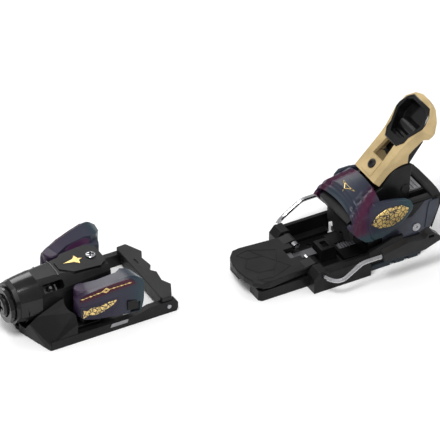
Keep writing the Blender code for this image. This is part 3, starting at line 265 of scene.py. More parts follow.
# ---- carried-over model pieces ----------------------------------------------------------
LOOKS = {
    "black": "toe_base brake_base toe_top_cover latch_block cup_insert lever_liner heel_carriage",
    "black_gloss": "toe_bezel lever_pocket toe_release_screw",
    "soft_black": "brake_pedal jaw_pad_left jaw_pad_right",
    "graphite": "afd_slider afd_carrier step_in_lug lever_bolt brake_tip_left brake_tip_right",
    "grey": "toe_scale_plate heel_scale_window",
    "slate": "heel_side_panel_left heel_side_panel_right",
    "base_slate": "heel_base",
    "dark_steel": "toe_spring_nut toe_indicator_pin brake_link",
    "steel": "afd_rivet_left afd_rivet_right toe_spring toe_pull_rod wing_pin_left wing_pin_right "
             "track_rack brake_spring heel_main_pin heel_release_screw cam_follower lever_pin "
             "forward_pressure_screw",
    "chrome": "brake_arm_left brake_arm_right",
    "brass": "heel_spring_nut",
    "foil": "cup_badge_left cup_badge_right",
    "gold": "lever",
}
EDGE = {"toe_base": 0.9, "heel_carriage": 0.9, "brake_base": 0.8, "brake_pedal": 1.0, "heel_base": 0.7,
        "afd_slider": 0.7, "toe_top_cover": 0.5, "lever": 1.2, "lever_pocket": 0.6}
OTHER_EDGE = 0.35
WIRES = ("spring", "arm_left", "arm_right")      # round already, so their edges stay as they are


def soften(obj, width, segments=2, angle=28):
    """Rounds a piece's edges by a width in millimetres."""
    weld = obj.modifiers.new("weld", "WELD")
    weld.merge_threshold = 0.00002
    bevel = obj.modifiers.new("edges", "BEVEL")
    bevel.width = width * MM
    bevel.segments = segments
    bevel.limit_method = "ANGLE"
    bevel.angle_limit = math.radians(angle)


def dress_model():
    """Gives the model's own pieces their materials and soft edges."""
    for look, names in LOOKS.items():
        for name in names.split():
            obj = NODES[name]
            obj.data.materials.clear()
            obj.data.materials.append(MATERIALS[look])
            if not name.endswith(WIRES):
                soften(obj, EDGE.get(name, OTHER_EDGE))


# ---- studio -----------------------------------------------------------------------------
LOOK_AT = Vector((160.2, 14.7, 40.0)) * MM
AZIMUTH, ELEVATION = math.radians(-28.6), math.radians(35.9)
LENS, SENSOR, VIEW_WIDTH = 400.0, 36.0, 0.440
FLOOR_HALF, FLOOR_DROP = 6.0, 0.0002
WORLD_LIGHT = 0.55
LIGHTS = (                              # name, place from the middle and size in m, power in W
    ("key", (-0.5, -0.5, 1.6), 0.6, 20),
    ("fill", (1.3, -0.9, 0.7), 0.5, 5),
    ("rim", (0.1, 1.5, 1.0), 0.8, 10),
)


def camera_and_light():
    """A long lens from the left front and above, a pale floor, a white world and three soft lamps."""
    scene = bpy.context.scene
    distance = VIEW_WIDTH * LENS / SENSOR
    level = math.cos(ELEVATION)
    forward = Vector((-math.sin(AZIMUTH) * level, math.cos(AZIMUTH) * level, -math.sin(ELEVATION)))
    data = bpy.data.cameras.new("camera")
    data.lens = LENS
    data.sensor_width = SENSOR
    camera = bpy.data.objects.new("camera", data)
    camera.location = LOOK_AT - forward * distance
    camera.rotation_euler = forward.to_track_quat("-Z", "Y").to_euler()
    scene.collection.objects.link(camera)
    scene.camera = camera

    bm = bmesh.new()
    bmesh.ops.create_grid(bm, x_segments=1, y_segments=1, size=FLOOR_HALF)
    mesh = bpy.data.meshes.new("floor")
    bm.to_mesh(mesh)
    bm.free()
    floor = bpy.data.objects.new("floor", mesh)
    floor.location.z = -FLOOR_DROP
    scene.collection.objects.link(floor)
    pale = Shader("floor_paper", (0.93, 0.93, 0.93), 0.9)
    mesh.materials.append(pale.material)

    world = bpy.data.worlds.new("studio")
    world.use_nodes = True
    sky = world.node_tree.nodes["Background"]
    sky.inputs["Color"].default_value = (1, 1, 1, 1)
    sky.inputs["Strength"].default_value = WORLD_LIGHT
    scene.world = world
    for name, place, size, power in LIGHTS:
        light = bpy.data.lights.new(name, "AREA")
        light.size = size
        light.energy = power
        lamp = bpy.data.objects.new(name, light)
        lamp.location = Vector(place) + LOOK_AT
        lamp.rotation_euler = (-Vector(place)).to_track_quat("-Z", "Y").to_euler()
        scene.collection.objects.link(lamp)
    scene.view_settings.view_transform = "Standard"


# ---- mesh helpers -----------------------------------------------------------------------
def piece(name, bm, unit, look, body, stands_for=(), edge=0.8, segments=2, crease=30):
    """An object of a bmesh in a unit's millimetres, dressed and riding on a body."""
    bmesh.ops.recalc_face_normals(bm, faces=bm.faces)
    bmesh.ops.transform(bm, matrix=Matrix.Scale(MM, 4) @ Matrix.Translation(unit), verts=bm.verts)
    mesh = bpy.data.meshes.new(name)
    bm.to_mesh(mesh)
    bm.free()
    mesh.shade_smooth()
    mesh.set_sharp_from_angle(angle=math.radians(crease))
    obj = bpy.data.objects.new(name, mesh)
    bpy.context.scene.collection.objects.link(obj)
    mesh.materials.append(look if isinstance(look, bpy.types.Material) else MATERIALS[look])
    if edge:
        soften(obj, edge, segments, crease)
    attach(obj, body)
    if stands_for:
        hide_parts(*stands_for)
    return obj


def loft(rings, closed=False):
    """A skin over rings of equally many points: capped at its ends, or closed like a picture frame."""
    bm = bmesh.new()
    rows = [[bm.verts.new(point) for point in ring] for ring in rings]
    count = len(rings[0])
    for first, second in zip(rows, rows[1:] + rows[:1] if closed else rows[1:]):
        for i in range(count):
            j = (i + 1) % count
            bm.faces.new((first[i], first[j], second[j], second[i]))
    if not closed:
        bm.faces.new(rows[0])
        bm.faces.new(list(reversed(rows[-1])))
    return bm


def slab(outline, axis, low, high):
    """An outline across an axis, run from low to high along it."""
    def at(u, v, w):
        return {"X": (w, u, v), "Y": (u, w, v), "Z": (u, v, w)}[axis]
    return loft([[at(u, v, w) for u, v in outline] for w in sorted((low, high))])


def arc(cx, cy, radius, start, end, steps):
    """Points on a circle, from one angle in degrees to another."""
    turn = [math.radians(start + (end - start) * i / steps) for i in range(steps + 1)]
    return [(cx + radius * math.cos(a), cy + radius * math.sin(a)) for a in turn]


def join(first, *others):
    """Adds meshes to the first one and frees them."""
    for other in others:
        mesh = bpy.data.meshes.new("part")
        other.to_mesh(mesh)
        other.free()
        first.from_mesh(mesh)
        bpy.data.meshes.remove(mesh)
    return first


def carve(obj, tool, unit):
    """Cuts a shape out of a piece and applies the cut before its edges are softened."""
    bmesh.ops.recalc_face_normals(tool, faces=tool.faces)
    bmesh.ops.transform(tool, matrix=Matrix.Scale(MM, 4) @ Matrix.Translation(unit), verts=tool.verts)
    mesh = bpy.data.meshes.new("tool")
    tool.to_mesh(mesh)
    tool.free()
    cutter = bpy.data.objects.new("tool", mesh)
    bpy.context.scene.collection.objects.link(cutter)
    step = obj.modifiers.new("cut", "BOOLEAN")
    step.operation = "DIFFERENCE"
    step.object = cutter
    with bpy.context.temp_override(object=obj, active_object=obj):
        bpy.ops.object.modifier_move_to_index(modifier=step.name, index=0)
        bpy.ops.object.modifier_apply(modifier=step.name)
    bpy.data.objects.remove(cutter)


def lerp(a, b, share):
    return a + (b - a) * share


def along(table, x):
    """A value read off (place, value) pairs, straight between them."""
    for (x0, v0), (x1, v1) in zip(table, table[1:]):
        if x <= x1:
            return lerp(v0, v1, max(0.0, (x - x0) / (x1 - x0)))
    return table[-1][1]


# ---- toe wings --------------------------------------------------------------------------
WING_PIVOT_X, WING_PIVOT_Y = -20.0, 33.2
WING_HUB_R = 8.3
WING_XS = (-35, -33, -31, -27, -22, -15, -4, 8, 17, 23, 29, 32, 35.5, 38)
WING_LINES = {                          # (place along the wing, height or distance) pairs
    "nose": [(-35, 4.0), (-33, 1.5), (-30, 0.2), (32, 0.2), (38, 1.5)],
    "low": [(-35, 27.0), (-32, 22.5), (-26, 18.5), (-16, 15.5), (0, 14.2), (30, 14.6), (35.5, 16.5),
            (38, 27)],
    "crease": [(-35, 43.0), (-31, 47.0), (-22, 50.6), (-8, 54.5), (8, 58.0), (23, 60.5), (30, 60.0),
               (38, 53.5)],
    "inner": [(-35, 34.0), (-29, 28.5), (-20, 26.0), (-10, 27.0), (23, 27.5), (31, 33.0), (38, 43.0)],
    "dish": [(-18, 0.0), (-5, 5.0), (18, 6.5), (27, 1.0), (38, 0.0)],
    "roof": [(-35, 42.0), (-29, 47.0), (-20, 51.2), (-8, 54.2), (8, 56.5), (23, 58.8), (31, 57.5),
             (38, 52.5)],
    "foot": [(-35, 35.0), (-29, 33.5), (-16, 34.5), (10, 37.0), (38, 45.0)],
}
INNER_TOP, INNER_MIDDLE = 8, 9          # the section's points at the ends of its sloped inner face


def wing_face(x):
    """How far out the wing's swept side face is."""
    return 41.0 + (x + 38.0) * 0.19


def wing_section(x):
    """Points round the wing at one place, from the inner foot outwards and over the top."""
    line = {name: along(table, x) for name, table in WING_LINES.items()}
    low, crease, roof, foot = line["low"], line["crease"], line["roof"], line["foot"]
    out = wing_face(x) - line["nose"]
    rim = line["inner"] + line["dish"]
    points = [(foot, low + 3), (out - 4.5, low), (out - 0.6, low + 2.5), (out, lerp(low, crease, 0.35)),
              (out + 0.3, lerp(low, crease, 0.6)), (out - 0.1, crease - 1.2), (out - 2.6, crease + 0.3),
              (lerp(out, rim, 0.55), lerp(crease, roof, 0.6)), (rim, roof - 0.6),
              (line["inner"] + 1.0, lerp(low, roof, 0.72)), (foot - 1, lerp(low, roof, 0.4))]
    return [(x, y, z) for y, z in points]


def wing_place(x):
    """The wing's front end is drawn in towards its pivot."""
    return x if x > WING_PIVOT_X else WING_PIVOT_X + (x - WING_PIVOT_X) * 0.66


def inner_face_point(x, share, rise, side):
    """A point on the wing's sloped inner face, share of the way down it and rise above it."""
    ring = wing_section(x)
    _, y, z = (lerp(a, b, share) for a, b in zip(ring[INNER_TOP], ring[INNER_MIDDLE]))
    return (x, side * (y - rise * 0.8), z + rise * 0.6)


def on_wing_face(points, side, depths):
    """An outline on the wing's outer face, at each depth out from it."""
    return [[(x, side * (wing_face(x) + depth), z) for x, z in points] for depth in depths]


def make_wing(side, word):
    """A wing: its shell with a pocket, the hub round its pin, the jaw behind the pad and its prints."""
    body = f"{word}_wing"
    paint = wing_lacquer(f"wing_lacquer_{word}")
    shell = loft([[(wing_place(x), y * side, z) for _, y, z in wing_section(x)] for x in WING_XS])
    skin = piece(f"wing_shell_{word}", shell, TOE, paint, body, (f"toe_wing_{word}",),
                 edge=1.3, segments=3)
    pocket = [(23.5, 18.0), (33.5, 17.8), (34.0, 29.5), (25, 30.5)]
    carve(skin, loft(on_wing_face(pocket, side, (-3.2, 2.0))), TOE)
    floor = loft(on_wing_face(pocket, side, (-3.6, -2.6)))
    piece(f"wing_pocket_floor_{word}", floor, TOE, "black", body, edge=0)
    hub = slab(arc(WING_PIVOT_X, WING_PIVOT_Y * side, WING_HUB_R, 0, 345, 23), "Z", 20.2, 51.6)
    piece(f"wing_hub_{word}", hub, TOE, paint, body, edge=1.5, segments=3)
    jaw = loft([[(x, y * side, z) for x, y, z in ring] for ring in (
        [(12, 26.5, 24), (30, 26.2, 22.5), (30, 26.2, 49), (12, 27.0, 50)],
        [(10, 36.5, 19.5), (32, 36.5, 18.5), (33, 36.5, 52), (10, 37.0, 52)],
        [(10, 46.5, 19.5), (34, 48.5, 19.0), (36, 48.5, 50), (10, 46.5, 50)])])
    piece(f"wing_jaw_{word}", jaw, TOE, "slate", body, edge=1.0)
    panel = [(-7, 0.35), (0, 0.12), (17, 0.1), (22, 0.3), (20, 0.9), (4, 0.95)]
    inner_panel = loft([[inner_face_point(x, share, rise, side) for x, share in panel] for rise in (-0.8,
                                                                                                    0.35)])
    piece(f"wing_inner_panel_{word}", inner_panel, TOE, "plum", body, edge=0.3)
    wing_print(side, word, body)


def wing_print(side, word, body):
    """The dark red stripe under the crease with its gold line work, and the foil panel below it."""
    stripe = [(-27.0, 42.0), (-24.5, 40.9), (-10, 44.0), (0, 46.4), (14, 49.6), (29, 52.0), (27.5, 56.0),
              (22, 59.4), (8, 57.2), (-8, 53.6), (-23, 47.4)]
    recess = [(-27, 35.0), (-23, 34.4), (-19, 36.4), (12, 41.0), (13, 33.0), (6, 22.0), (-8, 17.5),
              (-22, 19.5),
              (-27, 24.0)]
    foil = [(-24.5, 31.5), (-20, 30.0), (-16, 33.0), (-8, 32.8), (0, 36.0), (10, 37.8), (8, 33.5), (3, 30.5),
            (-4, 26.0), (-12, 23.5), (-18, 25.0), (-24, 21.8)]
    for name, outline, depths, look, slot, edge in (
            ("stripe", stripe, (-0.6, 0.55), "stripe", "slate", 0.2),
            ("recess", recess, (-0.7, 0.35), "slate_dark", "slate", 0.3),
            ("foil", foil, (0.0, 0.5), "foil", "gold_print", 0)):
        patch = loft(on_wing_face(outline, side, depths))
        piece(f"wing_{name}_{word}", patch, TOE, look, body, edge=edge, segments=1)
    line_work = wing_line_work(side)
    piece(f"wing_line_work_{word}", line_work, TOE, "gold_ink", body, edge=0)


def wing_line_work(side):
    """A row of small diamonds along the stripe, with two open diamonds at its middle."""
    middle_x, middle_z, pitch, reach = -1.0, 51.2, 3.9, 2.3
    proud = (0.4, 0.75)
    gold = bmesh.new()
    for i in range(-6, 7):
        if i == 0:
            continue
        x = middle_x + i * pitch
        z = along([(-28, 44.5), (0, 51.4), (27, 55.6)], x)
        height = 0.42 if i % 2 else 0.75
        diamond = [(x - reach, z - 0.1), (x, z - height), (x + reach, z + 0.2), (x, z + height)]
        join(gold, loft(on_wing_face(diamond, side, proud)))
    for spread in (4.2, 2.4):
        ring = [(middle_x - spread, middle_z - 0.5), (middle_x, middle_z + spread * 0.75),
                (middle_x + spread, middle_z + 0.5), (middle_x, middle_z - spread * 0.75)]
        inner = [(lerp(middle_x, x, 0.72), lerp(middle_z, z, 0.72)) for x, z in ring]
        for i in range(4):
            j = (i + 1) % 4
            join(gold, loft(on_wing_face([ring[i], ring[j], inner[j], inner[i]], side, proud)))
    return gold


# ---- toe housing ------------------------------------------------------------------------
BARREL_Z = 33.0
HOUSING_XS = (-84, -81, -76, -68, -60, -50, -40, -32, -20, -8, 4, 12, 18)
HOUSING_LINES = {                       # (place along the housing, height or distance) pairs
    "top": [(-84, 54.0), (-78, 56.0), (-60, 58.0), (-40, 58.6), (5, 58.6), (18, 56.8)],
    "half": [(-84, 19.2), (-76, 21.0), (-60, 23.2), (-40, 24.0), (6, 23.5), (18, 22.6)],
    "flat": [(-84, 7.5), (-60, 8.5), (-34, 11.0), (0, 16.5), (18, 17.5)],
    "shoulder": [(-84, 45.0), (-60, 46.5), (-30, 47.5), (0, 51.0), (18, 50.5)],
    "belly": [(-84, 25.0), (-45, 24.0), (-30, 22.0), (18, 21.5)],
    "bottom": [(-84, 15.0), (-45, 14.2), (-30, 13.2), (18, 15.2)],
    "keel": [(-84, 8.5), (-45, 13.0), (-30, 16.0), (18, 17.0)],
}


def housing_section(x):
    """Points round the housing at one place, from its keel up one side and down the other."""
    line = {name: along(table, x) for name, table in HOUSING_LINES.items()}
    top, half, flat, shoulder = line["top"], line["half"], line["flat"], line["shoulder"]
    facet = lerp(shoulder, top, 0.55)
    right = [(line["keel"], line["bottom"]), (half - 1.0, line["belly"] - 3.0), (half, line["belly"] + 2),
             (half, shoulder - 2), (lerp(half, flat, 0.12), shoulder + 1.0), (lerp(half, flat, 0.6),
                                                                              facet + 1.2),
             (flat, top)]
    left = [(-y, z) for y, z in reversed(right)]
    return [(x, y, z) for y, z in right + left]


def make_toe_housing():
    """The barrel and body in one shell, with the bore, the indicator window and the flange."""
    body = loft([housing_section(x) for x in HOUSING_XS])
    shell = piece("housing_shell", body, TOE, "black", "toe_head", ("toe_housing",),
                  edge=0.9, segments=3, crease=13)
    bore = slab(arc(0, BARREL_Z, 15.0, 0, 345, 23), "X", -90, -74)
    window = slab([(-54, -4.5), (-33.5, -4.5), (-32.2, -2.6), (-32.2, 2.6), (-33.5, 4.5), (-54, 4.5)],
                  "Z", 11, 40)
    tilt = Matrix.Translation((0, 0, BARREL_Z)) @ Matrix.Rotation(math.radians(45), 4, "X")
    bmesh.ops.transform(window, matrix=tilt, verts=window.verts)
    for tool in (bore, window):
        carve(shell, tool, TOE)
    # the flange that sits in the base, under the wings
    flange = slab([(-36, -34), (-28, -41.5), (-4, -41.5), (5, -20), (5, 20), (-4, 41.5), (-28, 41.5),
                   (-36, 34)],
                  "Z", 5.4, 12.0)
    piece("housing_flange", flange, TOE, "black", "toe_head", edge=0.6)
    collar = join(ring_band(-84.2, 20.6, 19.4, -80.5), ring_band(-72.5, 22.6, 22.2, -71.4))
    piece("housing_collar", collar, TOE, "black_gloss", "toe_head", edge=0)
    sleeve = loft([sleeve_section(x) for x in (-79.6, -73, -66, -57.5)])
    piece("housing_sleeve", sleeve, TOE, "black_gloss", "toe_head", edge=0.3, crease=40)
    # a plain four-pointed mark in gold on the cover
    mark = [(-23.5, 0), (-12.0, -2.4), (-8.0, -7.0), (-6.5, -1.6), (-2.5, 0), (-6.5, 1.6), (-8.0, 7.0),
            (-12.0, 2.4)]
    piece("cover_mark", slab(mark, "Z", 59.6, 60.0), TOE, "gold_ink", "toe_head", edge=0)
    seam = slab([(-36, -13.2), (-34.6, -13.2), (-33.4, -7), (-33.4, 7), (-34.6, 13.2), (-36, 13.2),
                 (-34.8, 7),
                 (-34.8, -7)], "Z", 58.2, 59.0)
    piece("housing_seam", seam, TOE, "black_gloss", "toe_head", edge=0.1, segments=1)


def sleeve_section(x):
    """The glossy sleeve on the barrel: the housing's section over its top, a little larger."""
    arch = housing_section(x)[2:12]

    def grown(by):
        share = 1 + by / 22
        return [(x, y * share, BARREL_Z + (z - BARREL_Z) * share) for _, y, z in arch]
    return grown(0.4) + grown(-0.6)[::-1]


def ring_band(x0, outer, inner, x1):
    """A round band about the barrel's axis."""
    count = 40
    turns = [2 * math.pi * i / count for i in range(count)]

    def ring(x, radius):
        return [(x, radius * math.cos(a), BARREL_Z - 0.5 + radius * math.sin(a)) for a in turns]
    return loft([ring(x0, inner), ring(x0, outer), ring(x1, outer), ring(x1, inner)], closed=True)


# ---- heel cup ---------------------------------------------------------------------------
def hood_base(v, t):
    """The hood's plain outer skin: v from front lip to rear, t from the crown down one side."""
    crown = along([(0, 67.5), (0.08, 72.5), (0.35, 79.5), (0.7, 84.5), (1, 87.0)], v)
    top_x = along([(0, 45.0), (0.08, 46.5), (0.35, 53.5), (0.7, 64.0), (1, 74.0)], v)
    low = along([(0, 57.0), (0.12, 53.0), (0.35, 43.0), (0.6, 34.0), (0.8, 32.5), (1, 35.5)], v)
    low_x = along([(0, 37.0), (0.12, 39.5), (0.35, 47.5), (0.6, 57.5), (0.8, 65.0), (1, 76.0)], v)
    wide = along([(0, 35.6), (0.35, 36.8), (1, 36.6)], v)
    corner = lerp(crown, low, along([(0, 0.7), (0.12, 0.5), (0.5, 0.38), (1, 0.36)], v))
    if t <= 0.6:
        turn = math.radians(90 * t / 0.6)
        y = wide * math.sin(turn) ** 0.92
        z = corner + (crown - corner) * math.cos(turn) ** 1.15
    else:
        share = (t - 0.6) / 0.4
        y = wide - 1.2 * share ** 2
        z = lerp(corner, low, share)
    x = lerp(top_x, low_x, t ** 1.35)
    return Vector((x, y, z))


def groove_line(x):
    """How far from the centre line the groove between hood front and cheek runs."""
    return 24.5 - 0.30 * (x - 49.0)


def hood_point(v, t):
    """The hood's skin with its groove, the ridge beside it and the raised brow."""
    t = max(t, 0.001)
    p = hood_base(v, t)
    normal = (hood_base(v + 0.01, t) - p).cross(hood_base(v, t + 0.01) - p).normalized()
    if normal.z < 0:
        normal = -normal
    off = p.y - groove_line(p.x)
    depth = -1.9 * math.exp(-(off / 1.9) ** 2) + 1.1 * math.exp(-((off - 4.2) / 2.4) ** 2)
    depth += 0.8 * math.exp(-((v - 0.30) / 0.05) ** 2) - 0.9 * math.exp(-((v - 0.19) / 0.07) ** 2)
    rim = min(1.0, v / 0.08) * (1.0 if t < 0.85 else max(0.0, (1 - t) / 0.15))
    return p + normal * depth * rim


def make_hood():
    """The cup's curved hood, a skin of even thickness over a grid of points."""
    rows, across, thickness = 26, 34, 3.6
    bm = bmesh.new()
    grid = []
    for i in range(rows):
        v = i / (rows - 1)
        half = [hood_point(v, k / across) for k in range(across + 1)]
        points = [Vector((p.x, -p.y, p.z)) for p in reversed(half[1:])] + half
        grid.append([bm.verts.new(p) for p in points])
    for first, second in zip(grid, grid[1:]):
        for a, b, c, d in zip(first, first[1:], second[1:], second):
            bm.faces.new((a, b, c, d))
    bmesh.ops.recalc_face_normals(bm, faces=bm.faces)
    bmesh.ops.solidify(bm, geom=bm.faces[:], thickness=thickness)
    paint = cup_paint("hood_lacquer")
    piece("cup_hood", bm, HEEL, paint, "cup", ("heel_cup",), edge=0.5, crease=38)


def cup_paint(name):
    """The cup's lacquer: slate with a dark red sweep on each side and teal at its edges."""
    s = Shader(name, SLATE, 0.3)
    x = s.math("SUBTRACT", s.axis(0), HEEL.x)
    across = s.math("SUBTRACT", s.axis(1), HEEL.y)
    y = s.math("ABSOLUTE", across)
    z = s.math("SUBTRACT", s.axis(2), HEEL.z)
    low = s.inverse(s.ramp(z, 33.0, 50.0))
    rear = s.ramp(x, 84.0, 108.0)
    colour = s.mix(s.times(s.math("MAXIMUM", low, rear), 0.9), SLATE, TEAL)
    # the sweeps' middle lines run from the hood's lower front corners up to the crown's rear
    on_left = s.math("LESS_THAN", across, 0.0)
    right_line = s.math("MULTIPLY_ADD", x, -0.43, 46.3)
    shift = s.math("MULTIPLY_ADD", x, -0.19, 21.2)
    middle = s.math("ADD", right_line, s.times(shift, on_left))
    away = s.math("ABSOLUTE", s.math("SUBTRACT", y, middle))
    on_hood = s.times(s.inverse(s.ramp(x, 72.0, 80.0)), s.ramp(z, 40.0, 48.0))
    for inner, outer, share, tint in ((5.0, 13.0, 0.85, PURPLE), (3.2, 5.8, 0.9, MAROON)):
        sweep = s.times(s.inverse(s.ramp(away, inner, outer)), on_hood)
        colour = s.mix(s.times(sweep, share), colour, tint)
    front = s.times(s.inverse(s.ramp(x, 40.0, 52.0)), s.inverse(s.ramp(y, 10.0, 26.0)))
    colour = s.mix(s.times(front, 0.6), colour, TEAL)
    colour = s.tint_clouds(colour, s.ramp(s.noise(36.0, 3.0), 0.35, 0.8), 0.25, 1.6)
    s.finish_lacquer(colour, 0.36, 0.05, 0.06, 0.18)
    return s.material


def make_cheeks():
    """The cup's side cheeks, its ears with the lever's pin caps, and the walls that join them."""
    outline = [(62, 40), (66, 33.5), (76, 33.2), (86, 36.6), (97, 42.5), (105, 49), (111, 56.5), (112, 61),
               (109.5, 67),
               (103, 71.5), (92, 74.5), (78, 77), (66, 77), (60.5, 72), (59.5, 56)]
    middle_x = sum(x for x, _ in outline) / len(outline)
    middle_z = sum(z for _, z in outline) / len(outline)
    pin_x, pin_z = 111, 72

    def ring(share, y):
        return [(lerp(middle_x, x, share), y, lerp(middle_z, z, share)) for x, z in outline]
    for side, word in SIDES:
        steps = ((0.97, 32.0), (1.0, 33.4), (1.0, 35.2), (0.965, 36.6), (0.90, 37.3), (0.6, 37.8),
                 (0.25, 37.9))
        bm = loft([ring(share, side * y) for share, y in steps])
        piece(f"cup_cheek_{word}", bm, HEEL, cup_paint(f"cheek_lacquer_{word}"), "cup", edge=0.4)
        ear = [(70, 42), (112, 24.5), (122, 24), (125.5, 30), (121, 36.5), (115.4, 42), (115.4, 60)]
        ear += arc(pin_x, pin_z, 28.0, 75, 160, 9) + [(78, 79), (63.5, 79), (63, 48)]
        shape = slab(ear, "Y", side * 16.7, side * 20.3)
        piece(f"cup_ear_{word}", shape, HEEL, "black", "cup", edge=0.7)
        boss = slab(arc(pin_x, pin_z, 5.2, 0, 340, 17), "Y", side * 20.2, side * 21.2)
        piece(f"lever_pin_cap_{word}", boss, HEEL, "black", "cup", edge=0.4)
    web = slab([(62.5, 44.5), (68.5, 44.5), (68.5, 51), (62.5, 51)], "Y", -17, 17)
    piece("cup_web", web, HEEL, "black", "cup", edge=0.5)
    wall = slab([(62.2, 52), (64.6, 50), (66.5, 78), (63.6, 78)], "Y", -16.5, 16.5)
    piece("cup_rear_wall", wall, HEEL, "black", "cup", edge=0.4)


# ---- lever, carriage sides and pedal ------------------------------------------------------
LEVER_ROOT_X, LEVER_ROOT_Z = 75.0, 90.0


def lever_point(a, n, b):
    """Lever coordinates: a along it from its root, n to the side, b behind its front face."""
    c = math.sqrt(0.5)                  # the lever leans back at 45 degrees
    return (LEVER_ROOT_X + (a + b) * c, n, LEVER_ROOT_Z + (a - b) * c)


def make_lever_details():
    """The raised ring round the lever's bolt, and the pocket's saddle and rim."""
    hollow = [(63 + u, 11.5 - v) for u, v in arc(0, 0, 7.6, 150, 20, 9)]
    saddle = [(52.5, 10.6), (53.5, 7.0)] + hollow + [(72, 10.6)]
    rings = [[lever_point(a, n, b) for a, b in saddle] for n in (-12.2, 12.2)]
    piece("pocket_saddle", loft(rings), HEEL, "black_gloss", "opening_lever", edge=0.4)
    boss = [(2.5, -9.5), (21.2, -9.5), (21.2, 9.5), (2.5, 9.5)]
    rings = [[lever_point(a, n, b) for a, n in boss] for b in (0.5, -0.9)]
    raised = piece("lever_boss", loft(rings), HEEL, "gold", "opening_lever", edge=0.5)
    bore = loft([[lever_point(13 + u, v, b) for u, v in arc(0, 0, 5.3, 0, 342, 19)] for b in (-3, 3)])
    carve(raised, bore, HEEL)
    rim = [[lever_point(a, n, b) for a, n in pocket_outline(grow)] for grow, b in (
        (1.3, 0.1), (1.3, -0.5), (0.5, -1.1), (-0.6, -1.1), (-0.8, 0.3))]
    piece("pocket_rim", loft(rim, closed=True), HEEL, "black_gloss", "opening_lever", edge=0)


def pocket_outline(grow):
    """The edge of the pole-tip pocket, grown outwards."""
    half = [(43.5 - grow, 9.5 + grow), (50, 15.5 + grow), (57, 16 + grow), (72, 23.5 + grow),
            (77, 23.5 + grow),
            (86 + grow * 0.6, 19.5 + grow), (91.5 + grow, 14 + grow * 0.6)]
    return half + [(a, -n) for a, n in reversed(half)]


def make_heel_sides():
    """The carriage's side plates with their black corners, and the decks inside them."""
    plate = [(80, 14), (99, 14), (126, 23.6), (132, 26.5), (136, 50), (136, 58.6), (100, 58.6), (86, 44),
             (79, 28)]
    for side, word in SIDES:
        skin = slab(plate, "Y", side * 31.05, side * 31.8)
        piece(f"carriage_side_{word}", skin, HEEL, "slate", "carriage", edge=0.3)
        step = [(104, 44), (104, 59.0), (127.5, 59.0), (113.5, 44.5)]
        corner = slab(step, "Y", side * 31.5, side * 32.3)
        piece(f"carriage_corner_{word}", corner, HEEL, "black", "carriage", edge=0.3)
        # the deck between the tunnel and the wall, clear of the slot the ear swings in
        deck = slab([(98, 50), (136.6, 50), (136.6, 59.5), (98, 59.5)], "Y", side * 21.4, side * 27.4)
        piece(f"carriage_deck_{word}", deck, HEEL, "graphite", "carriage", edge=0.6)


def make_rear_cap():
    """The cap over the carriage's rear end: bulged at its middle, chamfered towards both sides."""
    wall_x, deck_z, waist_z = 146.35, 59.8, 48
    profile = [(137, deck_z), (wall_x, deck_z), (wall_x, 33), (148.4, 36), (150.6, 48), (149.6, 57.5),
               (147, 62.9), (139, 63.3), (137, 61.5)]
    shares = ((-30.7, 0.15, 0.2, 0.05), (-24, 0.55, 0.8, 0.5), (-13, 1, 1, 1),
              (13, 1, 1, 1), (24, 0.55, 0.8, 0.5), (30.7, 0.15, 0.2, 0.05))
    rings = []
    for y, bulge, lift, drop in shares:     # how much of the profile's bulge, top and foot is left there
        ring = []
        for x, z in profile:
            out = x if x <= wall_x else wall_x + (x - wall_x) * bulge
            up = z
            if z > deck_z:
                up = deck_z + (z - deck_z) * lift
            elif z <= waist_z:
                up = waist_z - (waist_z - z) * drop
            ring.append((out, y, up))
        rings.append(ring)
    cap = piece("rear_cap_shell", loft(rings), HEEL, "graphite", "carriage", ("heel_rear_cap",),
                edge=0.8, segments=3)
    carve(cap, slab(arc(0, 47.5, 7.6, 0, 348, 29), "X", 141, 160), HEEL)


def make_pedal_relief():
    """Raised facet lines on the brake pedal."""
    top_z, half_width = 21.1, 0.45
    nodes = {"a": (-60, 0), "b": (-52, -13), "c": (-36, -16), "d": (-27, -4), "e": (-35, 9), "f": (-51, 12),
             "g": (-42, -27), "h": (-18, -18), "i": (-18, 12), "j": (-44, 25), "k": (-58, -24),
             "l": (-58, 22)}
    lines = "ab bc cd de ef fa cg dh di ej bk fl gk gh jl ij"
    relief = bmesh.new()
    for one, other in lines.split():
        start, end = Vector((*nodes[one], 0)), Vector((*nodes[other], 0))
        ahead = (end - start).normalized()
        side = Vector((-ahead.y, ahead.x, 0)) * half_width
        shape = [start - side, end - side, end + side, start + side]
        join(relief, slab([(c.x, c.y) for c in shape], "Z", top_z, top_z + 0.4))
    piece("pedal_relief", relief, HEEL, "soft_black", "pedal", edge=0.15, segments=1)
    step = slab([(-57, -26), (-52, -31), (-46, -32), (-46, -31), (-52, -29.5), (-56, -25)],
                "Z", top_z, top_z + 0.35)
    piece("pedal_edge_line", step, HEEL, "soft_black", "pedal", edge=0.1, segments=1)


def make_hood_mark():
    """A small plain pattern of two nested triangles in gold on the hood's brow."""
    middle = 0.43
    mark = bmesh.new()
    for size in (1.0, 0.55):
        corners = [(0.24, 0.0), (0.52, 0.11), (0.52, -0.11)]
        corners = [(middle + (v - middle) * size, t * size) for v, t in corners]
        for (v0, t0), (v1, t1) in zip(corners, corners[1:] + corners[:1]):
            inner = [(lerp(v, middle, 0.22), t * 0.78) for v, t in ((v0, t0), (v1, t1))]
            outline = [(v0, t0), (v1, t1), inner[1], inner[0]]
            rings = []
            for lift in (-0.2, 0.3):
                ring = []
                for v, t in outline:
                    p = hood_point(v, abs(t))
                    ring.append((p.x - lift * 0.6, math.copysign(p.y, t), p.z + lift * 0.8))
                rings.append(ring)
            join(mark, loft(rings))
    piece("hood_mark", mark, HEEL, "gold_ink", "cup", edge=0)


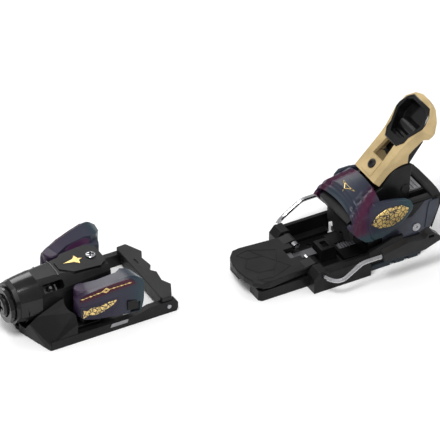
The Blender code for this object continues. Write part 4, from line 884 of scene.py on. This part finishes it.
def make_height_screw():
    """The screw's head, with a cross recess whose floor is dark: a black disc painted in as the shade in the
    recess.
    """
    screw_x = 7
    turned = ((50, 3.0), (58.2, 3.0), (58.2, 5.0), (60.9, 5.0), (61.6, 4.2), (61.75, 2.0))
    circle = arc(0, 0, 1, 0, 348, 29)
    head = loft([[(screw_x + u * r, v * r, z) for u, v in circle] for z, r in turned])
    screw = piece("height_screw_head", head, TOE, "chrome", "height_screw", ("toe_height_screw",),
                  edge=0.2, crease=40)
    for turn in (65, 155):
        slot = slab([(-3.7, -0.95), (3.7, -0.95), (3.7, 0.95), (-3.7, 0.95)], "Z", 60.0, 64)
        spin = Matrix.Translation((screw_x, 0, 0)) @ Matrix.Rotation(math.radians(turn), 4, "Z")
        bmesh.ops.transform(slot, matrix=spin, verts=slot.verts)
        carve(screw, slot, TOE)
    # a black disc under the cross slots: painted shade on the floor of the cross recess
    floor = slab(arc(screw_x, 0, 3.9, 0, 330, 11), "Z", 59.7, 61.15)
    piece("height_screw_recess_shade", floor, TOE, "black", "height_screw", edge=0)


def make_heel_spring():
    """The spring in two halves, a front one and a rear one, both riding on the carriage."""
    start, end, axis_z, reach, wire = 88.3, 127.2, 47.5, 8.75, 1.25
    turns, steps, sides = 3, 16, 8
    middle = (start + end) / 2
    halves = (("front", start + wire, middle, "follower_slide"),
              ("rear", middle, end - wire, "heel_nut_slide"))
    for word, low, high, joint in halves:
        rings = []
        for i in range(turns * steps + 1):
            turn = 2 * math.pi * i / steps
            along_x = lerp(low, high, i / (turns * steps))
            ring = []
            for k in range(sides):
                around = 2 * math.pi * k / sides
                out = reach + wire * math.cos(around)
                x = along_x + wire * math.sin(around)
                ring.append((x, out * math.cos(turn), axis_z + out * math.sin(turn)))
            rings.append(ring)
        stands_for = ("heel_spring",) if word == "front" else ()
        half = piece(f"heel_spring_{word}", loft(rings), HEEL, "steel", "carriage", stands_for,
                     edge=0)
        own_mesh(half)


camera_and_light()
dress_model()
for side, word in SIDES:
    make_wing(side, word)
make_hood()
make_hood_mark()
make_height_screw()
make_lever_details()
make_heel_sides()
make_rear_cap()
make_pedal_relief()
make_cheeks()
make_toe_housing()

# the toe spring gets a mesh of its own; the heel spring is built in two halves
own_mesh(NODES["toe_spring"])
make_heel_spring()
